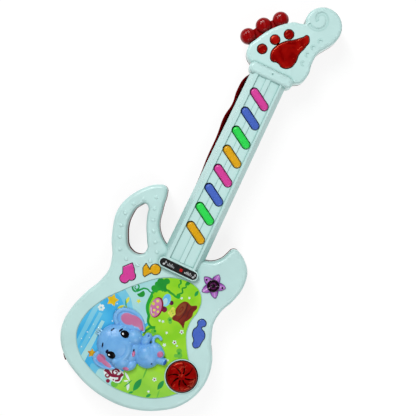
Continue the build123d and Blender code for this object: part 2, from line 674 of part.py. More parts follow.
with BuildPart() as button_domes:
    for x, y in BUTTON_DOMES:
        with Locations((x, y, BOARD_FACE + 0.5)):
            Cylinder(5.4, 1.0)
        with Locations((x, y, BOARD_FACE + 2.4)):
            Cone(4.4, 2.6, 2.8)
finish(button_domes, "button_domes")
PLUNGER_LOW = BOARD_FACE + 3.8 + 0.05 + TRAVEL

with BuildPart() as neck_board:
    prism(NECK_BOARD_Z, NECK_BOARD_Z + BOARD_T, lambda: plate((0, 104), 25.6, 162))
finish(neck_board, "neck_board")

KEY_FLANGE_TOP = UNDER_BOARD - SLACK
KEY_DOME_TOP = KEY_FLANGE_TOP - FLANGE_T - TRAVEL - 0.05
with BuildPart() as key_mat:
    prism(NECK_BOARD_Z + BOARD_T, NECK_BOARD_Z + BOARD_T + 1, lambda: plate((0, 107), 24.6, 158))
    for i in range(KEY_COUNT):
        dome_low = NECK_BOARD_Z + BOARD_T + 1
        with Locations((KEY_X, KEY_Y0 + KEY_PITCH * i, (dome_low + KEY_DOME_TOP) / 2)):
            Cone(5, 3.4, KEY_DOME_TOP - dome_low)
finish(key_mat, "key_mat")

with BuildPart() as lamp_board:
    prism(HEAD_BOARD_Z, HEAD_BOARD_Z + BOARD_T, lambda: plate((4, 231), 26, 24))
finish(lamp_board, "lamp_board")

with BuildPart() as lamps:                  # light-emitting diodes under the paw and the flower
    for x, y, foot in ((9, 226, HEAD_BOARD_Z + BOARD_T), (-4, 226, HEAD_BOARD_Z + BOARD_T),
                       (10, 238, HEAD_BOARD_Z + BOARD_T), (36.7, -26, BOARD_FACE)):
        with Locations((x, y, foot + 1.8)):
            Cylinder(1.5, 3.6)
        with Locations((x, y, foot + 3.6)):
            Sphere(1.5)
finish(lamps, "lamps")

# ================================================================ keys and buttons
for i in range(KEY_COUNT):
    with BuildPart() as key:
        prism(KEY_FLANGE_TOP - FLANGE_T, KEY_FLANGE_TOP, lambda: key_slot(i, FLANGE))
        prism(KEY_FLANGE_TOP, KEY_TOP, lambda: key_cap(i))
        fillet(edges_at(key, KEY_TOP), KEY_EDGE)
    finish(key, f"key_{i + 1}")


def note_button(shape, plungers, label):
    """A shaped cap with a flange under the shell and round plungers over the rubber domes."""
    with BuildPart() as button:
        prism(FLANGE_TOP - FLANGE_T, FLANGE_TOP, lambda: shape(GAP + FLANGE))
        prism(FLANGE_TOP, NOTE_TOP, lambda: shape(-NOTE_INSET))
        fillet(edges_at(button, NOTE_TOP), NOTE_EDGE)
        prism(PLUNGER_LOW, FLANGE_TOP - FLANGE_T, lambda: discs(plungers, 2.3))
    finish(button, label)


note_button(beamed_note, BUTTON_DOMES[0:1], "note_button_pink")
note_button(flagged_note, BUTTON_DOMES[1:2], "note_button_yellow")
note_button(long_note, BUTTON_DOMES[2:4], "note_button_blue")

DRUM_RISE = 3.4
DRUM_VANES = 8
DRUM_TOP = BODY_TOP + DRUM_RISE
with BuildPart() as drum_button:
    prism(FLANGE_TOP - FLANGE_T, FLANGE_TOP, lambda: drum_disc(GAP + FLANGE))
    prism(FLANGE_TOP, DRUM_TOP, lambda: drum_disc(-DRUM_INSET))
    fillet(edges_at(drum_button, DRUM_TOP), 3.0)
    # each vane ends in a fine groove that is wider and deeper near the hub
    with BuildSketch(Plane((*DRUM_AT, DRUM_TOP - 0.7))):
        with PolarLocations(0, DRUM_VANES):
            SlotArc(Edge.make_three_point_arc((4, 0), (8.8, 1.4), (12.4, 4.8)), 0.9)
    extrude(amount=1, mode=Mode.SUBTRACT)
    with BuildSketch(Plane((*DRUM_AT, DRUM_TOP - 1.6))):
        with PolarLocations(0, DRUM_VANES):
            SlotArc(Edge.make_three_point_arc((3.9, 0), (5.8, 0.25), (7.8, 0.95)), 1.6)
    extrude(amount=2, mode=Mode.SUBTRACT)
    prism(PLUNGER_LOW, FLANGE_TOP - FLANGE_T, lambda: discs([DRUM_AT], 4))
finish(drum_button, "drum_button")

# ================================================================ lenses, label, scene, figure, pegs
PAW_RISE = 1.4
PAW_EDGE = 1.7
with BuildPart() as paw_lens:
    prism(UNDER_HEAD - 1.8, UNDER_HEAD - SLACK, paw_carrier)
    prism(UNDER_HEAD - 0.2, HEAD_TOP + PAW_RISE, lambda: paw(-PAW_GAP))
    fillet(edges_at(paw_lens, HEAD_TOP + PAW_RISE), PAW_EDGE)
finish(paw_lens, "paw_lens")

with BuildPart() as petal_block:
    prism(BODY_TOP - 0.8, BODY_TOP + 1.0, petal)
    fillet(edges_at(petal_block, BODY_TOP + 1.0), 0.4)

with BuildPart() as flower_lens:
    with Locations(*PETAL_PLACES):
        add(petal_block.part)
    prism(UNDER_BODY, BODY_TOP + 1.6, lambda: discs([FLOWER_AT], 5.9))
    fillet(edges_at(flower_lens, BODY_TOP + 1.6), 0.5)
    prism(UNDER_BODY - 1, BODY_TOP + 2, lambda: discs(PIN_HOLES, 1.0), mode=Mode.SUBTRACT)
finish(flower_lens, "flower_lens")

with BuildPart() as label_plate:
    prism(LABEL_TOP - 1, LABEL_TOP - 0.3, lambda: pill(LABEL_AT, *LABEL_SIZE))
finish(label_plate, "label_plate")

SCENE_TOP = BODY_TOP - 0.3
with BuildPart() as scene_sticker:
    prism(BODY_TOP - 0.6, SCENE_TOP, scene)
finish(scene_sticker, "scene_sticker")


def dome(x, y, radius, height):
    """A shallow round hill standing on the scene."""
    ball_r = (radius ** 2 + height ** 2) / (2 * height)
    with Locations((x, y, SCENE_TOP + height - ball_r)):
        Sphere(ball_r)


ELEPHANT_DOMES = [
    (-20.8, -86.5, 20, 11), (-9, -90, 11, 9), (9, -91, 13, 8.5), (0.6, -74.5, 6, 6), (15.5, -79.5, 7, 6.5),
    (24, -88, 5.5, 5), (-5.5, -105, 8, 6), (-22, -64, 13, 5), (-10, -66, 9, 5), (-29, -109, 9, 4.5),
]
with BuildPart() as elephant_figure:
    for hill in ELEPHANT_DOMES:
        with BuildPart(mode=Mode.PRIVATE) as lump:
            dome(*hill)
            split(bisect_by=Plane.XY.offset(SCENE_TOP), keep=Keep.TOP)
        add(lump.part)
finish(elephant_figure, "elephant_figure")

with BuildPart() as tuning_pegs:
    prism(PART_Z + 1.0, PART_Z + 8, peg_web)
    for x, y in PEGS:
        with BuildPart(mode=Mode.PRIVATE) as knob:
            with Locations((x, y, PEG_Z)):
                Cylinder(PEG_R, PEG_TALL)
            fillet(knob.edges().filter_by(GeomType.CIRCLE), 5.5)
        add(knob.part)
    prism(HEAD_BACK, HEAD_TOP, lambda: grown(HEAD_OUTLINE, 0.1), mode=Mode.SUBTRACT)
    prism(PART_Z + 0.05, PART_Z + 4, peg_tongue)
finish(tuning_pegs, "tuning_pegs")

# ================================================================ power switch and wires
with BuildPart() as power_switch:
    with Locations((*SWITCH_AT, WALL + 3.2)):
        Box(15, 8, 6.4)
    with Locations((*SWITCH_AT, WALL + 1.6)):
        Box(9.4, 3.4, 3.4, mode=Mode.SUBTRACT)
finish(power_switch, "power_switch")

with BuildPart() as switch_knob:
    with Locations((SWITCH_AT[0] - SWITCH_THROW / 2, SWITCH_AT[1], 2.4)):
        Box(4.4, 3.0, 4.2)
    with Locations((SWITCH_AT[0] - SWITCH_THROW / 2, SWITCH_AT[1], 0.3)):
        Box(0.8, 3.0, 0.4, mode=Mode.SUBTRACT)
finish(switch_knob, "switch_knob")

with BuildPart() as neck_ribbon:            # flat cable from the main board up to the neck board
    low_z = BOARD_FACE
    high_z = NECK_BOARD_Z + BOARD_T
    with BuildSketch(Plane.YZ):
        with BuildLine():
            Polyline((-11, low_z), (-5, low_z), (22.5, high_z), (26.5, high_z), (26.5, high_z + 0.3),
                     (22.4, high_z + 0.3), (-5.1, low_z + 0.3), (-11, low_z + 0.3), close=True)
        make_face()
    extrude(amount=6, both=True)
finish(neck_ribbon, "neck_ribbon")


def wire_pair(route, spread, bend, radius=0.7):
    """Two thin insulated wires side by side along one route."""
    for side in (-spread, spread):
        points = [(x + side, y, z) for x, y, z in route]
        with BuildLine() as route_line:
            path = FilletPolyline(*points, radius=bend)
        with BuildSketch(Plane(origin=path @ 0, z_dir=path % 0)) as wire_end:
            Circle(radius)
        sweep(wire_end.sketch, path=route_line.wires()[0])


with BuildPart() as speaker_wires:
    wire_pair([(-28, -70, 10), (-28, -63, 13), (-28, -57.5, 17), (-28, -57.5, MAIN_BOARD_Z)], 1.2, 2.2)
finish(speaker_wires, "speaker_wires")

with BuildPart() as battery_wires:
    wire_pair([(24, -53.3, 14), (24, -49, 14), (24, -47, 18), (24, -47, MAIN_BOARD_Z)], 1.2, 1.8)
finish(battery_wires, "battery_wires")

with BuildPart() as lamp_wires:
    wire_pair([(9, 185.1, 28.4), (9, 192, 27), (9, 208, 24.4), (9, 218.9, 24.8)], 1.2, 8)
finish(lamp_wires, "lamp_wires")
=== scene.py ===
import bpy
import bmesh
import json
import math
from mathutils import Matrix, Vector, geometry
from mathutils.bvhtree import BVHTree


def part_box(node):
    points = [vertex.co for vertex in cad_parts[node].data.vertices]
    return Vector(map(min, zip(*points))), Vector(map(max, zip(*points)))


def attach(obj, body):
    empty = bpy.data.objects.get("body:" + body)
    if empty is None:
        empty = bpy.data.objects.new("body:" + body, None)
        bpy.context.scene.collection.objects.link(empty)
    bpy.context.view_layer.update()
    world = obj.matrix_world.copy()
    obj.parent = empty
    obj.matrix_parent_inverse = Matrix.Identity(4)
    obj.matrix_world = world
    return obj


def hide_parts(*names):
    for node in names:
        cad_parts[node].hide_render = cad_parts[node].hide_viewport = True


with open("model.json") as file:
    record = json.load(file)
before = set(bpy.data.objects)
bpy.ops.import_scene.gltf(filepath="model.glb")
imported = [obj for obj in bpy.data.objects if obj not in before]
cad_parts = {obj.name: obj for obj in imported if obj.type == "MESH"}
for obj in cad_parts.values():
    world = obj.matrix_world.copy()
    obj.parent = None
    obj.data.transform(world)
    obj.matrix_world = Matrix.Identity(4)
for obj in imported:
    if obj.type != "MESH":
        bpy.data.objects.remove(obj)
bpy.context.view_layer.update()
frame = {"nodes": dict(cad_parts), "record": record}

# Toy electric guitar, lying on its back on a pale floor, seen from straight above.
# Places are millimetres in the CAD frame; MM turns them into Blender's metres.
MM = 0.001
TAU = 2 * math.pi
ANY_HEIGHT = 1000       # flattens a field's Z, so that a shape drawn in plan reaches through the whole part


# ------------------------------------------------------------------ colours and materials
def srgb(red, green, blue):
    """A linear colour from the 0 to 255 values of a screen."""
    def channel(value):
        value /= 255
        return value / 12.92 if value <= 0.04045 else ((value + 0.055) / 1.055) ** 2.4
    return (channel(red), channel(green), channel(blue), 1.0)


def scaled(colour, factor):
    return tuple(min(1.0, part * factor) for part in colour[:3]) + (1.0,)


def new_material(name):
    material = bpy.data.materials.new(name)
    material.use_nodes = True
    tree = material.node_tree
    shader = tree.nodes["Principled BSDF"]
    return material, tree, shader


def noise_field(tree, scale, detail=3.0, rough=0.55, distortion=0.0):
    """Noise over the object's own coordinates; its scale counts per metre."""
    coords = tree.nodes.new("ShaderNodeTexCoord")
    field = tree.nodes.new("ShaderNodeTexNoise")
    field.inputs["Scale"].default_value = scale
    field.inputs["Detail"].default_value = detail
    field.inputs["Roughness"].default_value = rough
    field.inputs["Distortion"].default_value = distortion
    tree.links.new(coords.outputs["Object"], field.inputs["Vector"])
    return field.outputs["Fac"]


def spread(tree, factor, low, high, start=0.35, end=0.65):
    """Turn a 0 to 1 field into a value between two limits."""
    node = tree.nodes.new("ShaderNodeMapRange")
    node.inputs["From Min"].default_value = start
    node.inputs["From Max"].default_value = end
    node.inputs["To Min"].default_value = low
    node.inputs["To Max"].default_value = high
    tree.links.new(factor, node.inputs["Value"])
    return node.outputs["Result"]


def blend_colours(tree, factor, first, second):
    """Mix two colours, each a plain colour or another node's output, by a field."""
    mix = tree.nodes.new("ShaderNodeMix")
    mix.data_type = "RGBA"
    tree.links.new(factor, mix.inputs["Factor"])
    for socket, colour in (("A", first), ("B", second)):
        target = [s for s in mix.inputs if s.name == socket and s.type == "RGBA"][0]
        if isinstance(colour, tuple):
            target.default_value = colour
        else:
            tree.links.new(colour, target)
    return [s for s in mix.outputs if s.type == "RGBA"][0]


def maths(tree, operation, first, second=None):
    """A sum on a field; the second value is a number or another field."""
    node = tree.nodes.new("ShaderNodeMath")
    node.operation = operation
    tree.links.new(first, node.inputs[0])
    if isinstance(second, float):
        node.inputs[1].default_value = second
    elif second is not None:
        tree.links.new(second, node.inputs[1])
    return node.outputs[0]


def plan_field(tree, centre, scale=(1.0, 1.0), turn=0.0):
    """Plan coordinates about a centre, turned by degrees and counted in the scale's millimetres."""
    coords = tree.nodes.new("ShaderNodeTexCoord")
    mapping = tree.nodes.new("ShaderNodeMapping")
    mapping.vector_type = "TEXTURE"
    mapping.inputs["Location"].default_value = (centre[0] * MM, centre[1] * MM, 0)
    mapping.inputs["Rotation"].default_value = (0, 0, math.radians(turn))
    mapping.inputs["Scale"].default_value = (scale[0] * MM, scale[1] * MM, ANY_HEIGHT)
    tree.links.new(coords.outputs["Object"], mapping.inputs["Vector"])
    return mapping.outputs["Vector"]


def length_of(tree, vector):
    node = tree.nodes.new("ShaderNodeVectorMath")
    node.operation = "LENGTH"
    tree.links.new(vector, node.inputs[0])
    return node.outputs["Value"]


def pointiness(tree):
    """High on outer edges, low in creases, about a half on open faces."""
    return tree.nodes.new("ShaderNodeNewGeometry").outputs["Pointiness"]


def wear_and_highlight_edges(tree, low, high):
    """1 on sharp outer edges, 0 elsewhere: pale wear on the plastics, a painted highlight on the elephant.
    """
    return spread(tree, pointiness(tree), 0.0, 1.0, low, high)


def painted_gap_shade(tree, reach, low, high):
    """Where shade is painted: 1 deep in gaps and corners, 0 on open faces; reach in metres."""
    node = tree.nodes.new("ShaderNodeAmbientOcclusion")
    node.samples = 8
    node.inputs["Distance"].default_value = reach
    return spread(tree, node.outputs["AO"], 1.0, 0.0, low, high)


def add_bump(tree, shader, height, strength, distance):
    bump = tree.nodes.new("ShaderNodeBump")
    bump.inputs["Strength"].default_value = strength
    bump.inputs["Distance"].default_value = distance
    tree.links.new(height, bump.inputs["Height"])
    tree.links.new(bump.outputs["Normal"], shader.inputs["Normal"])


def moulded_plastic(name, colour, rough=(0.24, 0.34), grain=0.12, edge=1.10, coat=0.25, shine=0.5,
                    gaps=(0.0035, 0.10, 0.55)):
    """Injection-moulded plastic: faint flow clouding, fine grain, polish that varies, paler worn edges, and
    painted shade darkening its gaps and corners.
    """
    material, tree, shader = new_material(name)
    clouds = spread(tree, noise_field(tree, 38, 3), 0.0, 1.0)
    body = blend_colours(tree, clouds, scaled(colour, 0.965), scaled(colour, 1.03))
    body = blend_colours(tree, wear_and_highlight_edges(tree, 0.52, 0.60), body, scaled(colour, edge))
    # painted shade: gaps and corners are darkened almost to black
    body = blend_colours(tree, painted_gap_shade(tree, *gaps), body, scaled(colour, 0.02))
    tree.links.new(body, shader.inputs["Base Color"])
    tree.links.new(spread(tree, noise_field(tree, 160, 4), *rough), shader.inputs["Roughness"])
    shader.inputs["Coat Weight"].default_value = coat
    shader.inputs["Coat Roughness"].default_value = 0.08
    shader.inputs["Specular IOR Level"].default_value = shine
    add_bump(tree, shader, noise_field(tree, 2600, 2), grain, 0.00006)
    return material


def shell_mint(colour, shaded):
    """The front shell's mint plastic, with painted shade making its flanks and hollows darker than its
    face.
    """
    material = moulded_plastic("mint_abs", colour, (0.30, 0.42), 0.10, 1.05, 0.12, 0.4)
    tree = material.node_tree
    shader = tree.nodes["Principled BSDF"]
    face = shader.inputs["Base Color"].links[0].from_socket
    # painted shade: the flanks near the floor and the hollows take the darker mint
    painted_flank_shade = painted_gap_shade(tree, 0.03, 0.42, 0.90)
    tree.links.new(blend_colours(tree, painted_flank_shade, face, shaded), shader.inputs["Base Color"])
    return material


def tinted_lens(name, colour, deep):
    """Translucent coloured moulding over a dark inside, in a slow swirl of two tones with a wavy gloss, and
    painted shade in its gaps and grooves.
    """
    material, tree, shader = new_material(name)
    swirl = spread(tree, noise_field(tree, 75, 2, 0.5, 0.6), 0.0, 1.0)
    body = blend_colours(tree, swirl, deep, colour)
    # painted shade: gaps and grooves are darkened almost to black
    body = blend_colours(tree, painted_gap_shade(tree, 0.0025, 0.35, 0.85), body, scaled(deep, 0.05))
    tree.links.new(body, shader.inputs["Base Color"])
    tree.links.new(spread(tree, noise_field(tree, 240, 3), 0.10, 0.20), shader.inputs["Roughness"])
    shader.inputs["Specular IOR Level"].default_value = 0.6
    shader.inputs["Specular Tint"].default_value = srgb(255, 135, 95)
    add_bump(tree, shader, noise_field(tree, 110, 2, 0.5, 0.8), 0.5, 0.0018)
    return material


def print_ink(name, colour, other, scale=60):
    """Ink on a varnished sticker: soft patches of a second tone and a fine varnish ripple."""
    material, tree, shader = new_material(name)
    patches = spread(tree, noise_field(tree, scale, 2, 0.45), 0.0, 1.0, 0.38, 0.62)
    tree.links.new(blend_colours(tree, patches, colour, other), shader.inputs["Base Color"])
    tree.links.new(spread(tree, noise_field(tree, 300, 3), 0.28, 0.36), shader.inputs["Roughness"])
    shader.inputs["Coat Weight"].default_value = 0.2
    shader.inputs["Coat Roughness"].default_value = 0.15
    add_bump(tree, shader, noise_field(tree, 1500, 2), 0.05, 0.00005)
    return material


def metal(name, colour, streak=1.0):
    """Plated or brushed metal with fine streaks; streak is how much finer they are across than along."""
    material, tree, shader = new_material(name)
    coords = tree.nodes.new("ShaderNodeTexCoord")
    mapping = tree.nodes.new("ShaderNodeMapping")
    mapping.inputs["Scale"].default_value = (streak, 1.0, 1.0)
    streaks = tree.nodes.new("ShaderNodeTexNoise")
    streaks.inputs["Scale"].default_value = 900
    tree.links.new(coords.outputs["Object"], mapping.inputs["Vector"])
    tree.links.new(mapping.outputs["Vector"], streaks.inputs["Vector"])
    shade = spread(tree, streaks.outputs["Fac"], 0.0, 1.0)
    tree.links.new(blend_colours(tree, shade, scaled(colour, 0.85), colour), shader.inputs["Base Color"])
    tree.links.new(spread(tree, streaks.outputs["Fac"], 0.25, 0.42), shader.inputs["Roughness"])
    shader.inputs["Metallic"].default_value = 1.0
    add_bump(tree, shader, streaks.outputs["Fac"], 0.08, 0.00005)
    return material


def dull(name, colour, rough=(0.55, 0.75), grain=0.3):
    """Rubber, board laminate, paper and other matt stuff."""
    material, tree, shader = new_material(name)
    mottle = spread(tree, noise_field(tree, 220, 4), 0.0, 1.0)
    tree.links.new(blend_colours(tree, mottle, scaled(colour, 0.8), scaled(colour, 1.15)),
                   shader.inputs["Base Color"])
    tree.links.new(spread(tree, noise_field(tree, 400, 3), *rough), shader.inputs["Roughness"])
    add_bump(tree, shader, noise_field(tree, 1200, 3), grain, 0.0001)
    return material


FLOWER_AT = (37.2, -1.1)
FLOWER_TURN = 88
PETAL_COUNT = 5.0
VALLEY_R = 6.6          # from the flower's centre to the notch between two petals
PETAL_R = 11.9          # and to a petal's tip
HUB_R = (5.8, 6.4)      # the dark middle's soft edge
RING_R = 2.6            # the paler ring on it


def petal_outline(tree, distance, wave):
    """1 along the petals' outer edge, which reaches furthest where the five-fold wave is 1."""
    reach = spread(tree, wave, VALLEY_R, PETAL_R, -1.0, 1.0)
    return spread(tree, maths(tree, "SUBTRACT", reach, distance), 1.0, 0.0, 0.2, 1.3)


def flower_plastic():
    """Translucent purple petals with a rib down each, round a dark middle with a paler ring; a painted
    highlight runs along each rib, and painted shade lies between the petals, along their outer edge and in
    the gaps.
    """
    material, tree, shader = new_material("flower_lens")
    place = plan_field(tree, FLOWER_AT, turn=FLOWER_TURN)
    distance = length_of(tree, place)
    split = tree.nodes.new("ShaderNodeSeparateXYZ")
    tree.links.new(place, split.inputs[0])
    angle = maths(tree, "ARCTAN2", split.outputs["Y"], split.outputs["X"])
    wave = maths(tree, "COSINE", maths(tree, "MULTIPLY", angle, PETAL_COUNT))
    rib = spread(tree, wave, 0.0, 1.0, 0.90, 0.99)
    # painted shade: the petals are darker in the valleys between them
    valley_shade = spread(tree, wave, 1.0, 0.0, -0.6, 0.5)
    petal = blend_colours(tree, valley_shade, srgb(176, 112, 196), srgb(150, 82, 172))
    # painted highlight: a paler purple along each rib
    petal = blend_colours(tree, rib, petal, srgb(206, 150, 218))
    # painted shade: a darker purple along the petals' outer edge
    petal = blend_colours(tree, petal_outline(tree, distance, wave), petal, srgb(112, 44, 136))
    off_ring = maths(tree, "ABSOLUTE", maths(tree, "SUBTRACT", distance, RING_R))
    ring = spread(tree, off_ring, 1.0, 0.0, 0.4, 1.0)
    middle = blend_colours(tree, ring, srgb(18, 0, 14), srgb(80, 20, 74))
    body = blend_colours(tree, spread(tree, distance, 1.0, 0.0, *HUB_R), petal, middle)
    # painted shade: the gaps round the flower are darkened
    body = blend_colours(tree, painted_gap_shade(tree, 0.002, 0.3, 0.8), body, srgb(30, 2, 30))
    tree.links.new(body, shader.inputs["Base Color"])
    tree.links.new(spread(tree, noise_field(tree, 240, 3), 0.12, 0.22), shader.inputs["Roughness"])
    shader.inputs["Coat Weight"].default_value = 0.5
    shader.inputs["Coat Roughness"].default_value = 0.06
    add_bump(tree, shader, rib, 0.5, 0.0004)
    return material


def ribbed_knob():
    """Dark red moulding with soft flutes across its face."""
    material = moulded_plastic("ribbed_red_abs", srgb(146, 2, 4), (0.18, 0.28), 0.1, 1.15, 0.2, 0.2)
    tree = material.node_tree
    shader = tree.nodes["Principled BSDF"]
    coords = tree.nodes.new("ShaderNodeTexCoord")
    mapping = tree.nodes.new("ShaderNodeMapping")
    mapping.inputs["Rotation"].default_value = (0, 0, math.radians(-40))
    wave = tree.nodes.new("ShaderNodeTexWave")
    wave.inputs["Scale"].default_value = 78
    wave.inputs["Distortion"].default_value = 1.2
    wave.inputs["Detail"].default_value = 0.5
    tree.links.new(coords.outputs["Object"], mapping.inputs["Vector"])
    tree.links.new(mapping.outputs["Vector"], wave.inputs["Vector"])
    add_bump(tree, shader, wave.outputs["Fac"], 0.5, 0.0006)
    return material


def key_plastic(name, colour, edge):
    return moulded_plastic(f"key_{name}_abs", colour, (0.24, 0.34), 0.12, edge, coat=0.15, shine=0.35)


MINT = srgb(194, 228, 225)
MINT_SHADED = srgb(138, 186, 180)
RED = srgb(98, 0, 2)
PINK = srgb(216, 66, 156)
BLUE = srgb(72, 104, 196)
GREEN = srgb(48, 220, 84)
YELLOW = srgb(224, 168, 18)

MATERIALS = {
    "shell_front": shell_mint(MINT, MINT_SHADED),
    # the back shell's painted shade reaches further, darkening the grip beside the neck's wall
    "shell_back": moulded_plastic("dark_red_abs", RED, (0.24, 0.36), 0.16, 1.2, coat=0.0, shine=0.0,
                                  gaps=(0.012, 0.50, 0.90)),
    "screw_steel": metal("zinc_screw", (0.62, 0.62, 0.64, 1), streak=6.0),
    "cell_jacket": moulded_plastic("cell_wrap", srgb(38, 40, 46), (0.2, 0.3), 0.05),
    "contact_metal": metal("nickel_contact", (0.72, 0.71, 0.68, 1)),
    "speaker_steel": metal("speaker_basket", (0.24, 0.24, 0.25, 1)),
    "speaker_paper": dull("speaker_paper", srgb(44, 42, 40)),
    "magnet": dull("ferrite", srgb(58, 58, 60)),
    "board": dull("board_laminate", srgb(30, 104, 48), (0.3, 0.45), 0.15),
    "chip_resin": moulded_plastic("chip_resin", srgb(14, 14, 15), (0.12, 0.25)),
    "board_component": dull("component_case", srgb(42, 44, 50)),
    "rubber_grey": dull("silicone_rubber", srgb(150, 150, 152)),
    "lamp_clear": moulded_plastic("lamp_epoxy", srgb(226, 226, 218), (0.08, 0.14), 0.02),
    "key_pink": key_plastic("pink", PINK, 1.2),
    "key_blue": key_plastic("blue", BLUE, 1.2),
    "key_green": key_plastic("green", GREEN, 1.2),
    "key_yellow": key_plastic("yellow", YELLOW, 1.15),
    "red_lens": tinted_lens("red_lens", srgb(172, 16, 10), srgb(124, 0, 2)),
    "purple_lens": flower_plastic(),
    "label_black": print_ink("label_black", srgb(10, 10, 12), srgb(18, 18, 20)),
    "switch_black": dull("switch_black", srgb(26, 26, 28), (0.35, 0.5)),
    "cable_grey": dull("ribbon_grey", srgb(160, 160, 165), (0.4, 0.5)),
    "wire_red": moulded_plastic("wire_red", srgb(180, 24, 20), (0.35, 0.45)),
}
NODE_MATERIALS = {
    "tuning_pegs": ribbed_knob(),
    "drum_button": tinted_lens("drum_red", srgb(162, 10, 8), srgb(116, 0, 2)),
}


def dress_cad_nodes():
    """Give every CAD node that stays the finish of its material slot."""
    for sub in frame["record"]["subparts"]:
        material = NODE_MATERIALS.get(sub["node"], MATERIALS.get(sub["material_slot"]))
        if material is None:
            continue
        node = frame["nodes"][sub["node"]]
        for slot in node.material_slots:
            slot.material = material
        if not node.material_slots:
            node.data.materials.append(material)


# ------------------------------------------------------------------ mesh helpers
def mesh_from(bm, name):
    mesh = bpy.data.meshes.new(name)
    bm.to_mesh(mesh)
    bm.free()
    return mesh


def object_from(mesh, name, materials):
    """Put a mesh into the scene as an object with these materials."""
    for material in materials:
        mesh.materials.append(material)
    thing = bpy.data.objects.new(name, mesh)
    bpy.context.scene.collection.objects.link(thing)
    return thing


def ellipsoid(radii):
    """The matrix that turns a unit ball into an ellipsoid with these radii in millimetres."""
    return Matrix.Diagonal((*[radius * MM for radius in radii], 1))


# ------------------------------------------------------------------ flat printed art
def ring_points(centre, radius, count=28, squash=1.0, turn=0.0):
    """Points round an ellipse; squash is its height over its width and turn is in degrees."""
    cos_t, sin_t = math.cos(math.radians(turn)), math.sin(math.radians(turn))
    points = []
    for i in range(count):
        x = radius * math.cos(TAU * i / count)
        y = radius * squash * math.sin(TAU * i / count)
        points.append((centre[0] + x * cos_t - y * sin_t, centre[1] + x * sin_t + y * cos_t))
    return points


def star_points(centre, outer, inner, turn, tips=5):
    points = []
    for i in range(2 * tips):
        reach = outer if i % 2 == 0 else inner
        angle = math.radians(turn) + math.pi * i / tips
        points.append((centre[0] + reach * math.cos(angle), centre[1] + reach * math.sin(angle)))
    return points


def leaf_points(foot, tip, width, steps=8):
    """A pointed leaf from its foot to its tip."""
    foot, tip = Vector(foot), Vector(tip)
    along = tip - foot
    across = Vector((-along.y, along.x)).normalized() * width / 2
    left, right = [], []
    for i in range(1, steps):
        bulge = across * math.sin(math.pi * i / steps) ** 0.8
        left.append(foot + along * (i / steps) + bulge)
        right.append(foot + along * (i / steps) - bulge)
    return [tuple(p) for p in [foot] + left + [tip] + right[::-1]]


def ribbon_points(line, width):
    """A stroke of even width along a list of points, tapered to half at its end."""
    line = [Vector(p) for p in line]
    left, right = [], []
    for i, here in enumerate(line):
        ahead = line[min(i + 1, len(line) - 1)] - line[max(i - 1, 0)]
        across = Vector((-ahead.y, ahead.x)).normalized() * width / 2 * (1 - 0.5 * i / (len(line) - 1))
        left.append(tuple(here + across))
        right.append(tuple(here - across))
    return left + right[::-1]


def spiral_line(centre, start_r, end_r, start_deg, turns, count=26):
    line = []
    for i in range(count):
        part = i / (count - 1)
        radius = start_r + (end_r - start_r) * part
        angle = math.radians(start_deg) + TAU * turns * part
        line.append((centre[0] + radius * math.cos(angle), centre[1] + radius * math.sin(angle)))
    return line


def smooth_line(points, per_span, closed=False):
    """A Catmull-Rom curve through the points, with so many steps between each two."""
    count = len(points)
    spans = count if closed else count - 1
    out = []
    for i in range(spans):
        if closed:
            a, b, c, d = (Vector(points[(i + k) % count]) for k in (-1, 0, 1, 2))
        else:
            a, b, c, d = (Vector(points[min(max(i + k, 0), count - 1)]) for k in (-1, 0, 1, 2))
        for j in range(per_span):
            t = j / per_span
            out.append(tuple(0.5 * ((2 * b) + (c - a) * t + (2 * a - 5 * b + 4 * c - d) * t * t
                                    + (3 * b - a - 3 * c + d) * t ** 3)))
    if not closed:
        out.append(tuple(points[-1]))
    return out


def covers(polygon, x, y):
    """Whether a point lies inside a polygon, counting windings so that a ribbon may cross itself."""
    windings = 0
    x1, y1 = polygon[-1]
    for x2, y2 in polygon:
        if (y1 <= y) != (y2 <= y):
            side = (x2 - x1) * (y - y1) - (x - x1) * (y2 - y1)
            if y2 > y1 and side > 0:
                windings += 1
            elif y2 <= y1 and side < 0:
                windings -= 1
        x1, y1 = x2, y2
    return windings != 0


def reach_of(points):
    """The lowest and highest x and the lowest and highest y of a polygon."""
    xs, ys = zip(*points)
    return min(xs), max(xs), min(ys), max(ys)


# ------------------------------------------------------------------ printed scene and label
def heights(name):
    """The foot and the top of a CAD node, in millimetres."""
    low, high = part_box(name)
    return round(low.z / MM, 3), round(high.z / MM, 3)


def outline_loop(name):
    """The outline of a CAD node's top face as one closed chain of points, in millimetres."""
    mesh = frame["nodes"][name].data
    top = max(v.co.z for v in mesh.vertices)
    pairs = set()
    for poly in mesh.polygons:
        if any(mesh.vertices[i].co.z < top - 1e-5 for i in poly.vertices):
            continue
        corners = [tuple(round(part, 7) for part in mesh.vertices[i].co[:2]) for i in poly.vertices]
        for pair in zip(corners, corners[1:] + corners[:1]):
            if pair[::-1] in pairs:
                pairs.remove(pair[::-1])
            else:
                pairs.add(pair)
    follow = dict(pairs)
    here = next(iter(follow))
    loop = []
    seen = set()
    while here not in seen:
        seen.add(here)
        loop.append(here)
        here = follow[here]
    return [(x / MM, y / MM) for x, y in loop]


def flower_points(centre, radius, petals, depth):
    """A round flower; depth says how deep the notches between its petals are."""
    points = []
    count = 6 * petals
    for i in range(count):
        angle = TAU * i / count
        reach = radius * (1 - depth + depth * math.cos(petals * angle))
        points.append((centre[0] + reach * math.cos(angle), centre[1] + reach * math.sin(angle)))
    return points


def cloud(lobes):
    """Overlapping round lobes, each given as x, y, radius."""
    return [ring_points((x, y), r, 20) for x, y, r in lobes]


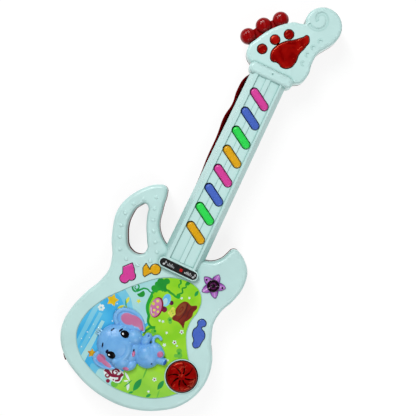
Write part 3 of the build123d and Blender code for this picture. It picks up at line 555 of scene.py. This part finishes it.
def printed_sheet(name, cad_name, shapes, base_material):
    """A closed sheet like a CAD one, its top divided into inks. Later shapes lie over earlier ones."""
    outline = outline_loop(cad_name)
    z_low, z_high = heights(cad_name)
    layers = [(base_material, outline)] + shapes
    verts, edges = [], []
    for _, points in layers:
        start = len(verts)
        verts += [Vector(p) for p in points]
        edges += [(start + i, start + (i + 1) % len(points)) for i in range(len(points))]
    flat, _, tris, _, _, _ = geometry.delaunay_2d_cdt(verts, edges, [], 0, 1e-4)
    boxes = [reach_of(points) for _, points in layers]
    materials = []
    for material, _ in layers:
        if material not in materials:
            materials.append(material)
    bm = bmesh.new()
    tops = [bm.verts.new((v.x * MM, v.y * MM, z_high * MM)) for v in flat]
    for tri in tris:
        x = sum(flat[i].x for i in tri) / 3
        y = sum(flat[i].y for i in tri) / 3
        if not covers(outline, x, y):
            continue
        face = bm.faces.new([tops[i] for i in tri])
        for (material, points), (x_low, x_high, y_low, y_high) in zip(reversed(layers), reversed(boxes)):
            if x_low <= x <= x_high and y_low <= y <= y_high and covers(points, x, y):
                face.material_index = materials.index(material)
                break
    bmesh.ops.delete(bm, geom=[v for v in bm.verts if not v.link_faces], context="VERTS")
    shell = bmesh.ops.extrude_face_region(bm, geom=list(bm.faces), use_keep_orig=True)
    for part in shell["geom"]:
        if isinstance(part, bmesh.types.BMVert):
            part.co.z = z_low * MM
    bmesh.ops.recalc_face_normals(bm, faces=bm.faces)
    return object_from(mesh_from(bm, name), name, materials)


INKS = {                 # two tones of each ink and how fine its patches are
    "sky": ((60, 176, 230), (80, 190, 236), 45),
    "sky_mid": ((112, 200, 230), (130, 210, 232), 50),
    "sky_pale": ((160, 218, 224), (176, 226, 224), 40),
    "ray": ((104, 196, 230), (134, 210, 234), 30),
    "meadow": ((136, 212, 26), (158, 222, 40), 55),
    "meadow_low": ((140, 210, 56), (156, 220, 60), 55),
    "bush": ((28, 166, 44), (20, 146, 44), 60),
    "leaf": ((14, 142, 66), (22, 160, 70), 90),
    "grass": ((96, 186, 56), (110, 196, 60), 60),
    "star": ((236, 206, 24), (218, 176, 14), 130),
    "orange": ((226, 182, 22), (184, 104, 20), 160),
    "lemon": ((212, 220, 44), (222, 226, 80), 120),
    "white": ((236, 244, 242), (214, 232, 228), 200),
    "pink": ((196, 108, 158), (206, 126, 170), 110),
    "rim": ((140, 6, 54), (124, 2, 46), 110),
    "cap_blue": ((102, 188, 236), (138, 208, 242), 120),
    "plum": ((108, 8, 70), (60, 4, 44), 160),
    "stump": ((130, 34, 6), (106, 20, 4), 80),
    "stump_face": ((134, 66, 28), (118, 52, 20), 120),
    "bark": ((78, 12, 6), (66, 8, 4), 100),
    "chick": ((224, 230, 100), (206, 214, 70), 160),
}


def curved(points, per_span=6):
    return smooth_line(points, per_span, closed=True)


def stroke(points, width, per_span=5):
    return ribbon_points(smooth_line(points, per_span), width)


def print_sky(lay):
    """Paler towards the top right, with broad rays falling to the left, dots and one daisy."""
    lay("sky_mid", curved([(-44, -44), (-30, -30), (-4, -6), (-4, -50), (-20, -62), (-36, -50)]))
    lay("sky_pale", curved([(-38, -36), (-20, -16), (0, -8), (-4, -58), (-16, -60), (-28, -46)]))
    lay("ray", [(-57, -62), (-52, -62), (-54.6, -112), (-58, -108)])
    lay("ray", [(-50, -70), (-46.4, -70), (-48.6, -116), (-52.4, -112)])
    lay("sky_pale", [(-44.6, -76), (-41.4, -76), (-42.4, -120), (-48, -116)])
    lay("ray", curved([(-36, -118), (-27, -116), (-14, -116), (-6, -122), (-14, -131), (-30, -128)]))
    lay("sky_pale", curved([(-27, -119), (-18, -116), (-7, -116), (-6, -124), (-12, -130), (-26, -128)]))
    for x, y, r in ((-38, -55.6, 0.9), (-36, -62.6, 0.8), (-35, -72.4, 0.9), (-52, -92, 0.8),
                    (-54.4, -100, 0.7), (-51, -107, 0.8), (-50, -83, 0.6), (-48, -96, 0.6),
                    (-41.6, -58.4, 0.8)):
        lay("white", flower_points((x, y), r, 4, 0.3))
    lay("white", *cloud([(-50 + 2.1 * math.cos(a), -65.4 + 2.1 * math.sin(a), 1.25)
                         for a in (0.3, 1.35, 2.4, 3.45, 4.5, 5.55)]))
    lay("sky_mid", ring_points((-50, -65.4), 0.8, 12))


def print_meadow(lay):
    """The green right-hand side, with bushes along its left edge and blades of grass."""
    lay("meadow", curved([(-9, -15), (4, -8), (20, -4), (44, -20), (44, -50), (66, -80), (50, -120),
                          (10, -132), (-8, -128), (-5, -112), (-4, -68), (-3, -60), (-10, -48),
                          (-12, -30)]))
    lay("meadow_low", curved([(2, -102), (20, -98), (36, -100), (50, -122), (10, -134), (-9, -130),
                              (-5, -112)]))
    lay("bush", *cloud([(-4.5, -16.5, 3.2), (-9.4, -19, 3.6), (-11.4, -22.4, 2.6), (-8, -24, 5.2),
                        (-3.6, -20, 4), (-12.4, -27.2, 3), (-9.4, -29, 3.4)]))
    lay("bush", stroke([(-11, -27), (-11.6, -36), (-11.4, -44), (-9, -49.4), (-6, -53), (-4.4, -58),
                        (-1, -61), (4, -62)], 3.6))
    lay("bush", stroke([(4.6, -60.6), (0.6, -62.6), (-1.6, -66), (-3.6, -70)], 3.0))
    lay("meadow", *cloud([(-5.4, -29.4, 2.9), (-8.8, -32.4, 2.4), (-2.4, -30.6, 3), (0.2, -19.8, 3.2),
                          (3.2, -15, 4.8), (5.6, -20.6, 3.4), (9.6, -14.6, 2.6), (9, -21, 2.4),
                          (-7.4, -37, 2.2)]))
    lay("bush", stroke([(-3, -25.6), (0, -23.6), (3, -24.4), (6.4, -24.8), (9, -25.6), (12.6, -25.4),
                        (11.6, -22), (13.6, -19.4), (11.8, -16), (14.4, -13.4), (13, -10.4),
                        (16.4, -8.6)], 2.3))
    lay("bush", stroke([(6.6, -9.4), (8.4, -12), (7.4, -14.4), (9, -17)], 1.9))
    lay("bush", *cloud([(14.4, -9.6, 1.8), (11.4, -23.6, 2.0)]))
    lay("grass", *cloud([(4.6, -64.6, 2.6), (13.6, -47.6, 2.2), (15, -49.6, 1.8), (34.6, -71, 2.6),
                         (36.6, -74.6, 2.8), (33.6, -76.4, 1.8), (-3.6, -116, 2.8), (-5, -121, 3.2),
                         (-7.6, -125.6, 3.4)]))
    lay("bush", *cloud([(5.6, -63.6, 1.2), (14, -48, 1.1), (35.4, -73, 1.2)]))
    lay("grass", leaf_points((14, -97), (14.6, -110), 1.6), leaf_points((33.6, -112), (34.6, -121), 1.4))
    for foot, tip, width in (((25.6, -17.8), (26.4, -11.4), 3.2), ((11.4, -124), (13.6, -110), 5.6),
                             ((31.8, -113), (33.4, -102.4), 4.6), ((24.8, -124), (28, -119.4), 2.8),
                             ((8, -128), (12, -124.4), 2.0)):
        lay("leaf", leaf_points(foot, tip, width))


def print_vine_and_stars(lay):
    """A curly vine with a heart-shaped leaf, stars and a dragonfly."""
    lay("leaf", ribbon_points(spiral_line((-28.2, -33.6), 4.2, 1.0, -70, -1.4), 1.9))
    lay("leaf", stroke([(-26.8, -37.2), (-24, -34.4), (-21.4, -31.6), (-17.6, -30.8), (-14.6, -32),
                        (-10.6, -31.4)], 2.1))
    lay("bush", curved([(-20.6, -33.8), (-18, -36), (-18.4, -39), (-21.6, -40.6), (-24.8, -39.4),
                        (-23, -37.2)], 5))
    lay("star", star_points((-43.4, -54.4), 6.2, 3.5, 98))
    lay("orange", star_points((-39.4, -108.4), 4.6, 2.6, 110))
    lay("lemon", star_points((-20.6, -44.6), 2.5, 1.3, 80))
    lay("lemon", leaf_points((-30.6, -52.4), (-30.4, -44.8), 3.0),
        leaf_points((-31, -54), (-36, -59.6), 2.6), leaf_points((-30.4, -53), (-27, -57), 1.6))
    lay("leaf", leaf_points((-32.8, -47.6), (-28.2, -56.2), 1.1))


def print_toadstools(lay):
    """Toadstools, a tree stump and a chick beside it."""
    lay("plum", ring_points((8.4, -32.8), 2.0, 18, 1.1))
    lay("cap_blue", ring_points((3.0, -32.4), 3.9, 28, 1.58, 6))
    lay("sky_pale", ring_points((2.4, -34), 2.1, 20, 1.6, 6))
    lay("plum", ring_points((4.6, -41.2), 3.0, 20, 0.9))
    lay("rim", ring_points((5.4, -42.4), 1.7, 16))
    lay("rim", ring_points((-2.5, -42.6), 5.9, 32, 1.72, 8))
    lay("pink", ring_points((-3.3, -43.1), 5.3, 32, 1.74, 8))
    for x, y, r in ((-4.3, -36.8, 1.4), (-7, -40.8, 1.5), (-1.8, -41.9, 1.2), (-3.6, -46, 1.2),
                    (0.3, -45.9, 1.2), (-2.4, -50, 1.0)):
        lay("chick", ring_points((x, y), r, 16))
    lay("white", stroke([(-7.4, -45), (-5.6, -48.4), (-3.4, -50.4)], 0.7, 4))
    lay("stump", curved([(14.6, -37), (15.6, -31), (18.4, -26.6), (22, -25.6), (26.6, -27), (31, -24.8),
                         (32.4, -27.4), (31, -32), (31.6, -36), (29.6, -41), (27.8, -44), (29, -50),
                         (26.4, -48.4), (22, -46.6), (16.4, -46.8), (14.8, -44.4), (16.4, -41)], 5))
    lay("bark", stroke([(22.6, -27), (23.6, -33), (23, -40), (20.8, -46)], 1.1))
    lay("bark", stroke([(27.6, -29), (26.8, -34), (27.4, -39), (26, -45)], 0.8))
    lay("stump_face", ring_points((19.4, -34.4), 3.2, 24, 2.3, -8))
    lay("stump", ring_points((19.4, -34.4), 1.6, 20, 2.2, -8))
    lay("stump_face", ring_points((19.4, -34.4), 0.9, 16, 2.0, -8))
    lay("chick", *cloud([(12.6, -40.4, 3.0), (10.6, -42, 1.7), (13.4, -43.4, 1.8), (12, -37.2, 1.7),
                         (15, -41, 1.4)]))
    lay("leaf", ring_points((12, -39.6), 0.5, 8), ring_points((13.8, -41.2), 0.5, 8))


def print_daisies(lay):
    for x, y, r in ((29, -53.6, 2.3), (27, -65.4, 2.3), (25, -105.4, 2.3), (16.4, -60.4, 1.4),
                    (8.6, -52.2, 1.5), (5.4, -52.8, 1.3), (21.6, -21.2, 1.4), (15.2, -24.6, 1.4),
                    (19.4, -71.8, 1.9), (24.8, -118.2, 1.3), (30.6, -67.4, 1.1), (28.6, -83.6, 1.2)):
        lay("white", flower_points((x, y), r, 5, 0.22))
        if r > 2:
            lay("rim", ring_points((x, y), 0.75, 12))


def print_flourish(lay):
    """A pale dragonfly and a generic scroll flourish at the foot."""
    lay("white", leaf_points((4.4, -116.8), (-3.6, -111), 2.2), leaf_points((3.4, -118), (6.6, -126), 2.8),
        leaf_points((3.4, -117), (-1, -119.4), 1.6))
    lay("leaf", leaf_points((6.4, -114.6), (1.8, -124.6), 1.2))
    lay("white", curved([(-22, -116.4), (-12, -111.4), (-4, -112.6), (-3.4, -121), (-7, -124),
                         (-19, -122.4)], 5))
    lay("rim", ribbon_points(spiral_line((-11.4, -115.4), 3.6, 1.0, 30, 1.3), 2.0))
    lay("rim", ribbon_points(spiral_line((-17.4, -121), 2.8, 0.9, 120, -1.1), 1.9))
    lay("rim", stroke([(-21.6, -116.8), (-18, -117.6), (-14, -119.4), (-9.6, -118.4), (-5, -116)], 3.8))
    lay("rim", stroke([(-4.4, -113.4), (-5.8, -117), (-5.4, -120.6), (-8.4, -122.6)], 3.2))
    lay("rim", ring_points((-14.4, -125.6), 1.9, 16), ring_points((-10.2, -122.4), 0.8, 12))


def printed_scene():
    """A generic children's landscape: sky with rays on the left, a meadow with toadstools on the right."""
    ink = {}
    for name, (tone, other_tone, patches) in INKS.items():
        ink[name] = print_ink("ink_" + name, srgb(*tone), srgb(*other_tone), patches)
    shapes = []

    def lay(name, *polygons):
        shapes.extend((ink[name], polygon) for polygon in polygons)

    print_sky(lay)
    print_meadow(lay)
    print_vine_and_stars(lay)
    print_toadstools(lay)
    print_daisies(lay)
    print_flourish(lay)
    sheet = printed_sheet("printed_scene", "scene_sticker", shapes, ink["sky"])
    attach(sheet, "body")
    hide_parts("scene_sticker")


LABEL_AT = (0.4, -0.5)
SYMBOL_FOOT = -1.6      # of the label's bars, from its middle
BAR_WIDTH = 0.7
BAR_PITCH = 1.3


def printed_label():
    """The black plate below the neck, with generic symbols: an equaliser, notes and a red square."""
    white = print_ink("ink_label_white", srgb(206, 210, 212), srgb(170, 176, 180), 300)
    red = print_ink("ink_label_red", srgb(196, 14, 16), srgb(170, 8, 10), 300)
    shapes = []

    def lay(ink, points):
        shapes.append((ink, [(LABEL_AT[0] + x, LABEL_AT[1] + y) for x, y in points]))

    def bar(x, width, low, high, ink=white):
        lay(ink, [(x, low), (x + width, low), (x + width, high), (x, high)])

    def quaver(x):
        lay(white, ring_points((x, -1.4), 1.15, 14, 0.8, 20))
        bar(x + 0.5, 0.6, -1.4, 2.2)
        lay(white, [(x + 0.5, 2.2), (x + 2.4, 0.9), (x + 2.2, 0.1), (x + 1.0, 1.0)])

    def equaliser(start, heights):
        for k, height in enumerate(heights):
            bar(start + BAR_PITCH * k, BAR_WIDTH, SYMBOL_FOOT, SYMBOL_FOOT + height)

    quaver(-14.6)
    equaliser(-11.4, (1.8, 3.0, 2.2, 3.2, 2.0, 1.2))
    bar(1.4, 2.8, -1.5, 1.3, red)
    equaliser(6.6, (1.6, 2.4, 3.2, 2.2, 3.0, 1.8))
    quaver(15.8)
    sheet = printed_sheet("printed_label", "label_plate", shapes, MATERIALS["label_black"])
    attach(sheet, "body")
    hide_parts("label_plate")


# ------------------------------------------------------------------ the raised baby elephant
FIGURE_FOOT = heights("scene_sticker")[1] + 0.02


def blob(lumps, centre, radii, turn=0.0):
    """An ellipsoid; centre and radii in millimetres, turn in degrees about Z."""
    turned = Matrix.Rotation(math.radians(turn), 4, "Z")
    lumps.append(Matrix.Translation(Vector(centre) * MM) @ turned @ ellipsoid(radii))


def bead_chain(lumps, line, start_r, end_r, start_z, end_z):
    """A tapering roll laid along a line."""
    for i, (x, y) in enumerate(line):
        part = i / (len(line) - 1)
        radius = start_r + (end_r - start_r) * part
        blob(lumps, (x, y, start_z + (end_z - start_z) * part), (radius, radius, radius))


def fused(name, lumps, voxel, smoothing, material):
    """Melt overlapping lumps into one smooth closed skin that stands flat on the scene; voxel in mm."""
    bm = bmesh.new()
    bmesh.ops.create_uvsphere(bm, u_segments=24, v_segments=14, radius=1.0)
    ball = [vert.co.copy() for vert in bm.verts]
    ball_faces = [[vert.index for vert in face.verts] for face in bm.faces]
    bm.free()
    verts, faces = [], []
    for matrix in lumps:
        start = len(verts)
        verts += [matrix @ co for co in ball]
        faces += [[start + i for i in face] for face in ball_faces]
    rough = bpy.data.meshes.new(name + "_lumps")
    rough.from_pydata(verts, [], faces)
    cluster = bpy.data.objects.new(name + "_lumps", rough)
    bpy.context.scene.collection.objects.link(cluster)
    remesh = cluster.modifiers.new("skin", "REMESH")
    remesh.mode = "VOXEL"
    remesh.voxel_size = voxel * MM
    remesh.use_smooth_shade = True
    soften = cluster.modifiers.new("soften", "SMOOTH")
    soften.factor = 0.5
    soften.iterations = smoothing
    graph = bpy.context.evaluated_depsgraph_get()
    mesh = bpy.data.meshes.new_from_object(cluster.evaluated_get(graph))
    mesh.name = name
    bpy.data.objects.remove(cluster)
    bpy.data.meshes.remove(rough)
    for vert in mesh.vertices:
        vert.co.z = max(vert.co.z, FIGURE_FOOT * MM)
    for poly in mesh.polygons:
        poly.use_smooth = True
    mesh.materials.clear()
    return object_from(mesh, name, [material])


def ellipse_mask(tree, centre, radii, turn=0.0):
    """1 inside an upright elliptical column and 0 outside, with a soft edge."""
    distance = length_of(tree, plan_field(tree, centre, radii, turn))
    return spread(tree, distance, 1.0, 0.0, 0.9, 1.1)


def any_ellipse(tree, ellipses):
    """The largest of several elliptical masks, each given as centre, radii and an optional turn."""
    result, *others = [ellipse_mask(tree, *ellipse) for ellipse in ellipses]
    for field in others:
        result = maths(tree, "MAXIMUM", result, field)
    return result


# Darker blue toes and hand spots; the last entry is painted shade in the gap beside the upper arm, not a
# toe.
TOES_AND_GAP_SHADE = (((27.2, -86.2), (1.5, 3.0)), ((2.0, -69.6), (0.9, 1.2)), ((6.4, -74.6), (1.0, 1.6), 20))
PADS = (                 # the pink inside of both ears and the pink soles
    ((-22.4, -63.9), (6.9, 5.4)), ((-15.4, -62.8), (8.2, 4.6), -8), ((-8.8, -65.0), (5.4, 2.4), -38),
    ((-29.2, -108.4), (4.4, 4.0)), ((-23.6, -110.9), (6.6, 2.2), -14), ((19.6, -80.8), (2.9, 3.1)),
    ((-4.0, -107.4), (3.0, 1.9), 14),
)


def elephant_skin():
    """Glossy light blue with painted pink ears and pads and darker blue toes; a painted highlight lies on
    its ridges, and painted shade lies in its creases and in the gap beside the upper arm.
    """
    material, tree, shader = new_material("elephant_skin")
    clouds = spread(tree, noise_field(tree, 90, 2), 0.0, 1.0)
    blue = blend_colours(tree, clouds, srgb(104, 170, 230), srgb(116, 180, 236))
    # painted highlight: paler blue on the ridges and edges
    blue = blend_colours(tree, wear_and_highlight_edges(tree, 0.50, 0.56), blue, srgb(150, 204, 244))
    # painted shade: darker blue in the creases
    crease_shade = spread(tree, pointiness(tree), 1.0, 0.0, 0.44, 0.495)
    blue = blend_colours(tree, crease_shade, blue, srgb(70, 132, 204))
    # darker blue toes, with painted shade in the gap beside the upper arm
    blue = blend_colours(tree, any_ellipse(tree, TOES_AND_GAP_SHADE), blue, srgb(22, 92, 184))
    skin = blend_colours(tree, any_ellipse(tree, PADS), blue, srgb(196, 112, 156))
    tree.links.new(skin, shader.inputs["Base Color"])
    tree.links.new(spread(tree, noise_field(tree, 260, 3), 0.34, 0.44), shader.inputs["Roughness"])
    shader.inputs["Specular IOR Level"].default_value = 0.4
    shader.inputs["Coat Weight"].default_value = 0.08
    shader.inputs["Coat Roughness"].default_value = 0.2
    shader.inputs["Subsurface Weight"].default_value = 0.06
    shader.inputs["Subsurface Radius"].default_value = (0.002, 0.002, 0.003)
    add_bump(tree, shader, noise_field(tree, 1800, 2), 0.06, 0.00005)
    return material


CAST_FROM = 0.1         # metres above the foot of the part, well clear of the figure


def pressed_bead(name, surface, x, y, radii, turn, material, lift=0.0):
    """A flattened bead set into the figure straight below x, y and square to its surface there."""
    spot, normal, _, _ = surface.ray_cast(Vector((x * MM, y * MM, CAST_FROM)), Vector((0, 0, -1)))
    side = Vector((math.cos(math.radians(turn)), math.sin(math.radians(turn)), 0))
    side = (side - normal * side.dot(normal)).normalized()
    tilt = Matrix((side, normal.cross(side), normal)).transposed().to_4x4()
    matrix = Matrix.Translation(spot + normal * lift * MM) @ tilt @ ellipsoid(radii)
    bm = bmesh.new()
    bmesh.ops.create_uvsphere(bm, u_segments=28, v_segments=14, radius=1.0, matrix=matrix)
    for face in bm.faces:
        face.smooth = True
    bead = object_from(mesh_from(bm, name), name, [material])
    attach(bead, "body")


def head_lumps(lumps):
    """Head, brow, cheeks, chin and the trunk, which runs from between the eyes down round the muzzle."""
    blob(lumps, (-21.5, -90.2, 35.4), (19.6, 19.4, 10.4))
    blob(lumps, (-30, -90, 37.6), (10.4, 13, 7.0))
    blob(lumps, (-9.6, -77.4, 37.6), (8.2, 8.0, 6.8))
    blob(lumps, (-12, -102.2, 36.8), (10.4, 9.0, 7.4))
    blob(lumps, (-5.4, -90, 36.4), (7.4, 13.4, 6.4))
    trunk = smooth_line([(-21.4, -87.4), (-16.4, -85.0), (-12.0, -86.0), (-9.6, -91), (-9.8, -97),
                         (-12.4, -102), (-16.4, -105)], 4)
    bead_chain(lumps, trunk, 5.2, 3.2, 40.4, 40.8)


def ear_lumps(lumps):
    """Each ear is a thin dish with a thick rim."""
    blob(lumps, (-20.4, -65.0, 36.0), (15.2, 10.6, 3.2), -6)
    upper_rim = smooth_line([(-30.6, -71.4), (-33.6, -68.6), (-34.4, -64), (-32, -59.4), (-27, -56.6),
                             (-20, -55.8), (-13.4, -57.4), (-8.8, -60.6), (-5.4, -64.8), (-4.0, -68.4)], 5)
    bead_chain(lumps, upper_rim, 2.5, 1.4, 37.4, 36.8)
    blob(lumps, (-26.2, -109.4, 36.0), (10.6, 6.8, 3.0), -10)
    lower_rim = smooth_line([(-28, -102.6), (-32.4, -103.4), (-35.4, -107), (-35.4, -111.4),
                             (-31.6, -114.6), (-26, -115.6), (-19.6, -114.4), (-14.6, -112)], 5)
    bead_chain(lumps, lower_rim, 2.0, 1.4, 37.2, 36.8)


def body_lumps(lumps):
    """Body, belly, the four limbs and the tail."""
    blob(lumps, (9.0, -87.6, 36.0), (12.6, 12.4, 7.6))
    blob(lumps, (6.8, -86.8, 39.0), (7.6, 8.2, 5.6))
    blob(lumps, (1.8, -74.6, 37.0), (4.2, 6.6, 4.8), -8)
    blob(lumps, (2.2, -70.4, 38.0), (3.8, 3.4, 3.8))
    blob(lumps, (-1.4, -102.4, 36.8), (4.8, 6.4, 4.6), -20)
    blob(lumps, (-3.6, -106.6, 37.6), (3.9, 2.9, 3.5), 10)
    blob(lumps, (14.6, -79.0, 37.0), (8.2, 5.8, 5.4), -24)
    blob(lumps, (19.4, -80.6, 38.6), (4.2, 4.5, 4.1))
    blob(lumps, (21.6, -86.4, 36.8), (6.4, 4.2, 4.4), 4)
    blob(lumps, (26.0, -86.0, 37.6), (2.5, 3.8, 3.7))
    tail = smooth_line([(8.6, -73.4), (7.6, -70.6), (8.6, -67.8), (11.4, -66.6), (14.2, -68.0)], 4)
    bead_chain(lumps, tail, 1.5, 1.5, 37.0, 37.0)


EYE = (4.3, 3.7, 1.1)
GLINT = (0.9, 0.9, 0.4)


def face_beads(surface):
    """Eyes, lashes, brows, mouth and navel, pressed into the figure's skin, and white beads on the eyes as
    painted highlights (glints).
    """
    black = moulded_plastic("eye_black", srgb(4, 4, 7), (0.30, 0.38), 0.02, 1.0, coat=0.0, shine=0.1)
    navy = moulded_plastic("lash_navy", srgb(8, 14, 52), (0.3, 0.4), 0.03, 1.0, coat=0.0, shine=0.15)
    glint = moulded_plastic("eye_glint", srgb(240, 244, 248), (0.1, 0.2), 0.02)
    rosy = moulded_plastic("mouth_pink", srgb(204, 104, 150), (0.25, 0.35), 0.05)
    pressed_bead("eye_left", surface, -18.8, -77.6, EYE, 0, black)
    pressed_bead("eye_right", surface, -22.0, -100.8, EYE, -4, black)
    # the glints are white beads standing in for painted highlights on the eyes
    pressed_bead("glint_left", surface, -20.5, -78.3, GLINT, 0, glint, lift=1.0)
    pressed_bead("glint_right", surface, -23.8, -101.1, GLINT, 0, glint, lift=1.0)
    pressed_bead("lash_left", surface, -23.8, -75.8, (1.0, 2.5, 0.5), -30, navy)
    pressed_bead("lash_right", surface, -27.0, -99.4, (1.2, 2.2, 0.5), -8, navy)
    pressed_bead("brow_left", surface, -31.2, -78.8, (0.75, 2.2, 0.45), -28, navy)
    pressed_bead("brow_right", surface, -33.4, -95.8, (0.8, 2.5, 0.45), 14, navy)
    pressed_bead("mouth", surface, -3.4, -90.8, (1.5, 3.0, 0.6), 16, rosy)
    pressed_bead("mouth_corner", surface, -4.6, -87.9, (0.8, 1.5, 0.6), 20, navy, lift=0.1)
    pressed_bead("belly_button", surface, 16.0, -92.4, (0.8, 0.9, 0.4), 0, navy)


def hair_tuft():
    """Three strands of hair on the crown."""
    lumps = []
    for start, tip in (((-39.0, -85.2), (-45.2, -84.0)), ((-39.4, -87.4), (-46.2, -86.6)),
                       ((-39, -89.4), (-44.6, -89.4))):
        bend = ((start[0] + tip[0]) / 2, start[1] + 0.5)
        bead_chain(lumps, smooth_line([start, bend, tip], 6), 1.1, 0.35, 37.8, 36.2)
    blue = moulded_plastic("tuft_blue", srgb(150, 206, 240), (0.3, 0.4))
    tuft = fused("hair_tuft", lumps, voxel=0.25, smoothing=2, material=blue)
    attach(tuft, "body")


def elephant():
    """A baby elephant lying on its side, its head to the left and its feet to the right."""
    lumps = []
    head_lumps(lumps)
    ear_lumps(lumps)
    body_lumps(lumps)
    skin = fused("elephant", lumps, voxel=0.45, smoothing=5, material=elephant_skin())
    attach(skin, "body")
    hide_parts("elephant_figure")
    mesh = skin.data
    face_beads(BVHTree.FromPolygons([v.co for v in mesh.vertices], [p.vertices[:] for p in mesh.polygons]))
    hair_tuft()


# ------------------------------------------------------------------ camera, light, floor
CAMERA_OVER = (0.00083, 0.0636)      # metres, as the height
CAMERA_HEIGHT = 1.090
CAMERA_TURN = math.radians(25.48)
SENSOR = 36.0           # millimetres, as the focal length
LENS = 96.0


def make_camera():
    data = bpy.data.cameras.new("camera")
    data.lens = LENS
    data.sensor_width = SENSOR
    camera = bpy.data.objects.new("camera", data)
    camera.location = (*CAMERA_OVER, CAMERA_HEIGHT)
    camera.rotation_euler = (0, 0, CAMERA_TURN)
    bpy.context.scene.collection.objects.link(camera)
    bpy.context.scene.camera = camera


LIGHTS = (               # name, place in metres, diameter, watts
    ("key_light", (-0.62, 0.62, 1.2), 0.7, 10.5),
    ("accent_light", (-0.8, 0.8, 1.0), 0.25, 4.6),
    ("fill_light", (0.66, -0.52, 1.2), 0.9, 8.5),
)
LIT_SPOT = Vector((0, 0.06, 0.02))


def make_light(name, spot, size, power):
    """A round soft light, turned towards the middle of the part."""
    data = bpy.data.lights.new(name, "AREA")
    data.shape = "DISK"
    data.size = size
    data.energy = power
    lamp = bpy.data.objects.new(name, data)
    lamp.location = spot
    lamp.rotation_euler = (LIT_SPOT - Vector(spot)).to_track_quat("-Z", "Y").to_euler()
    bpy.context.scene.collection.objects.link(lamp)


FLOOR_REACH = 6.0       # from its middle to its edge, in metres
FLOOR_DROP = 0.0003     # below the part, so that the two never share a plane


def make_floor():
    """A pale floor that glows a little, as a lit studio sweep does."""
    bm = bmesh.new()
    bmesh.ops.create_grid(bm, x_segments=2, y_segments=2, size=FLOOR_REACH)
    material, tree, shader = new_material("floor_white")
    mottle = spread(tree, noise_field(tree, 4, 2), 0.0, 1.0)
    tree.links.new(blend_colours(tree, mottle, (0.17, 0.17, 0.17, 1), (0.19, 0.19, 0.19, 1)),
                   shader.inputs["Base Color"])
    shader.inputs["Roughness"].default_value = 0.9
    shader.inputs["Specular IOR Level"].default_value = 0.1
    shader.inputs["Emission Color"].default_value = (1, 1, 1, 1)
    shader.inputs["Emission Strength"].default_value = 0.86
    floor = object_from(mesh_from(bm, "floor"), "floor", [material])
    floor.location.z = -FLOOR_DROP


def make_world():
    """A room that is bright all round and dark overhead, so that level glossy faces keep their colour."""
    world = bpy.data.worlds.new("studio")
    world.use_nodes = True
    tree = world.node_tree
    background = tree.nodes["Background"]
    background.inputs["Color"].default_value = (1.0, 1.0, 1.0, 1)
    sky = tree.nodes.new("ShaderNodeTexCoord")
    split = tree.nodes.new("ShaderNodeSeparateXYZ")
    tree.links.new(sky.outputs["Generated"], split.inputs[0])
    strength = spread(tree, split.outputs["Z"], 0.20, 0.03, 0.55, 0.92)
    tree.links.new(strength, background.inputs["Strength"])
    bpy.context.scene.world = world


make_camera()
make_floor()
make_world()
for light in LIGHTS:
    make_light(*light)
bpy.context.scene.view_settings.view_transform = "Standard"
dress_cad_nodes()
printed_scene()
printed_label()
elephant()
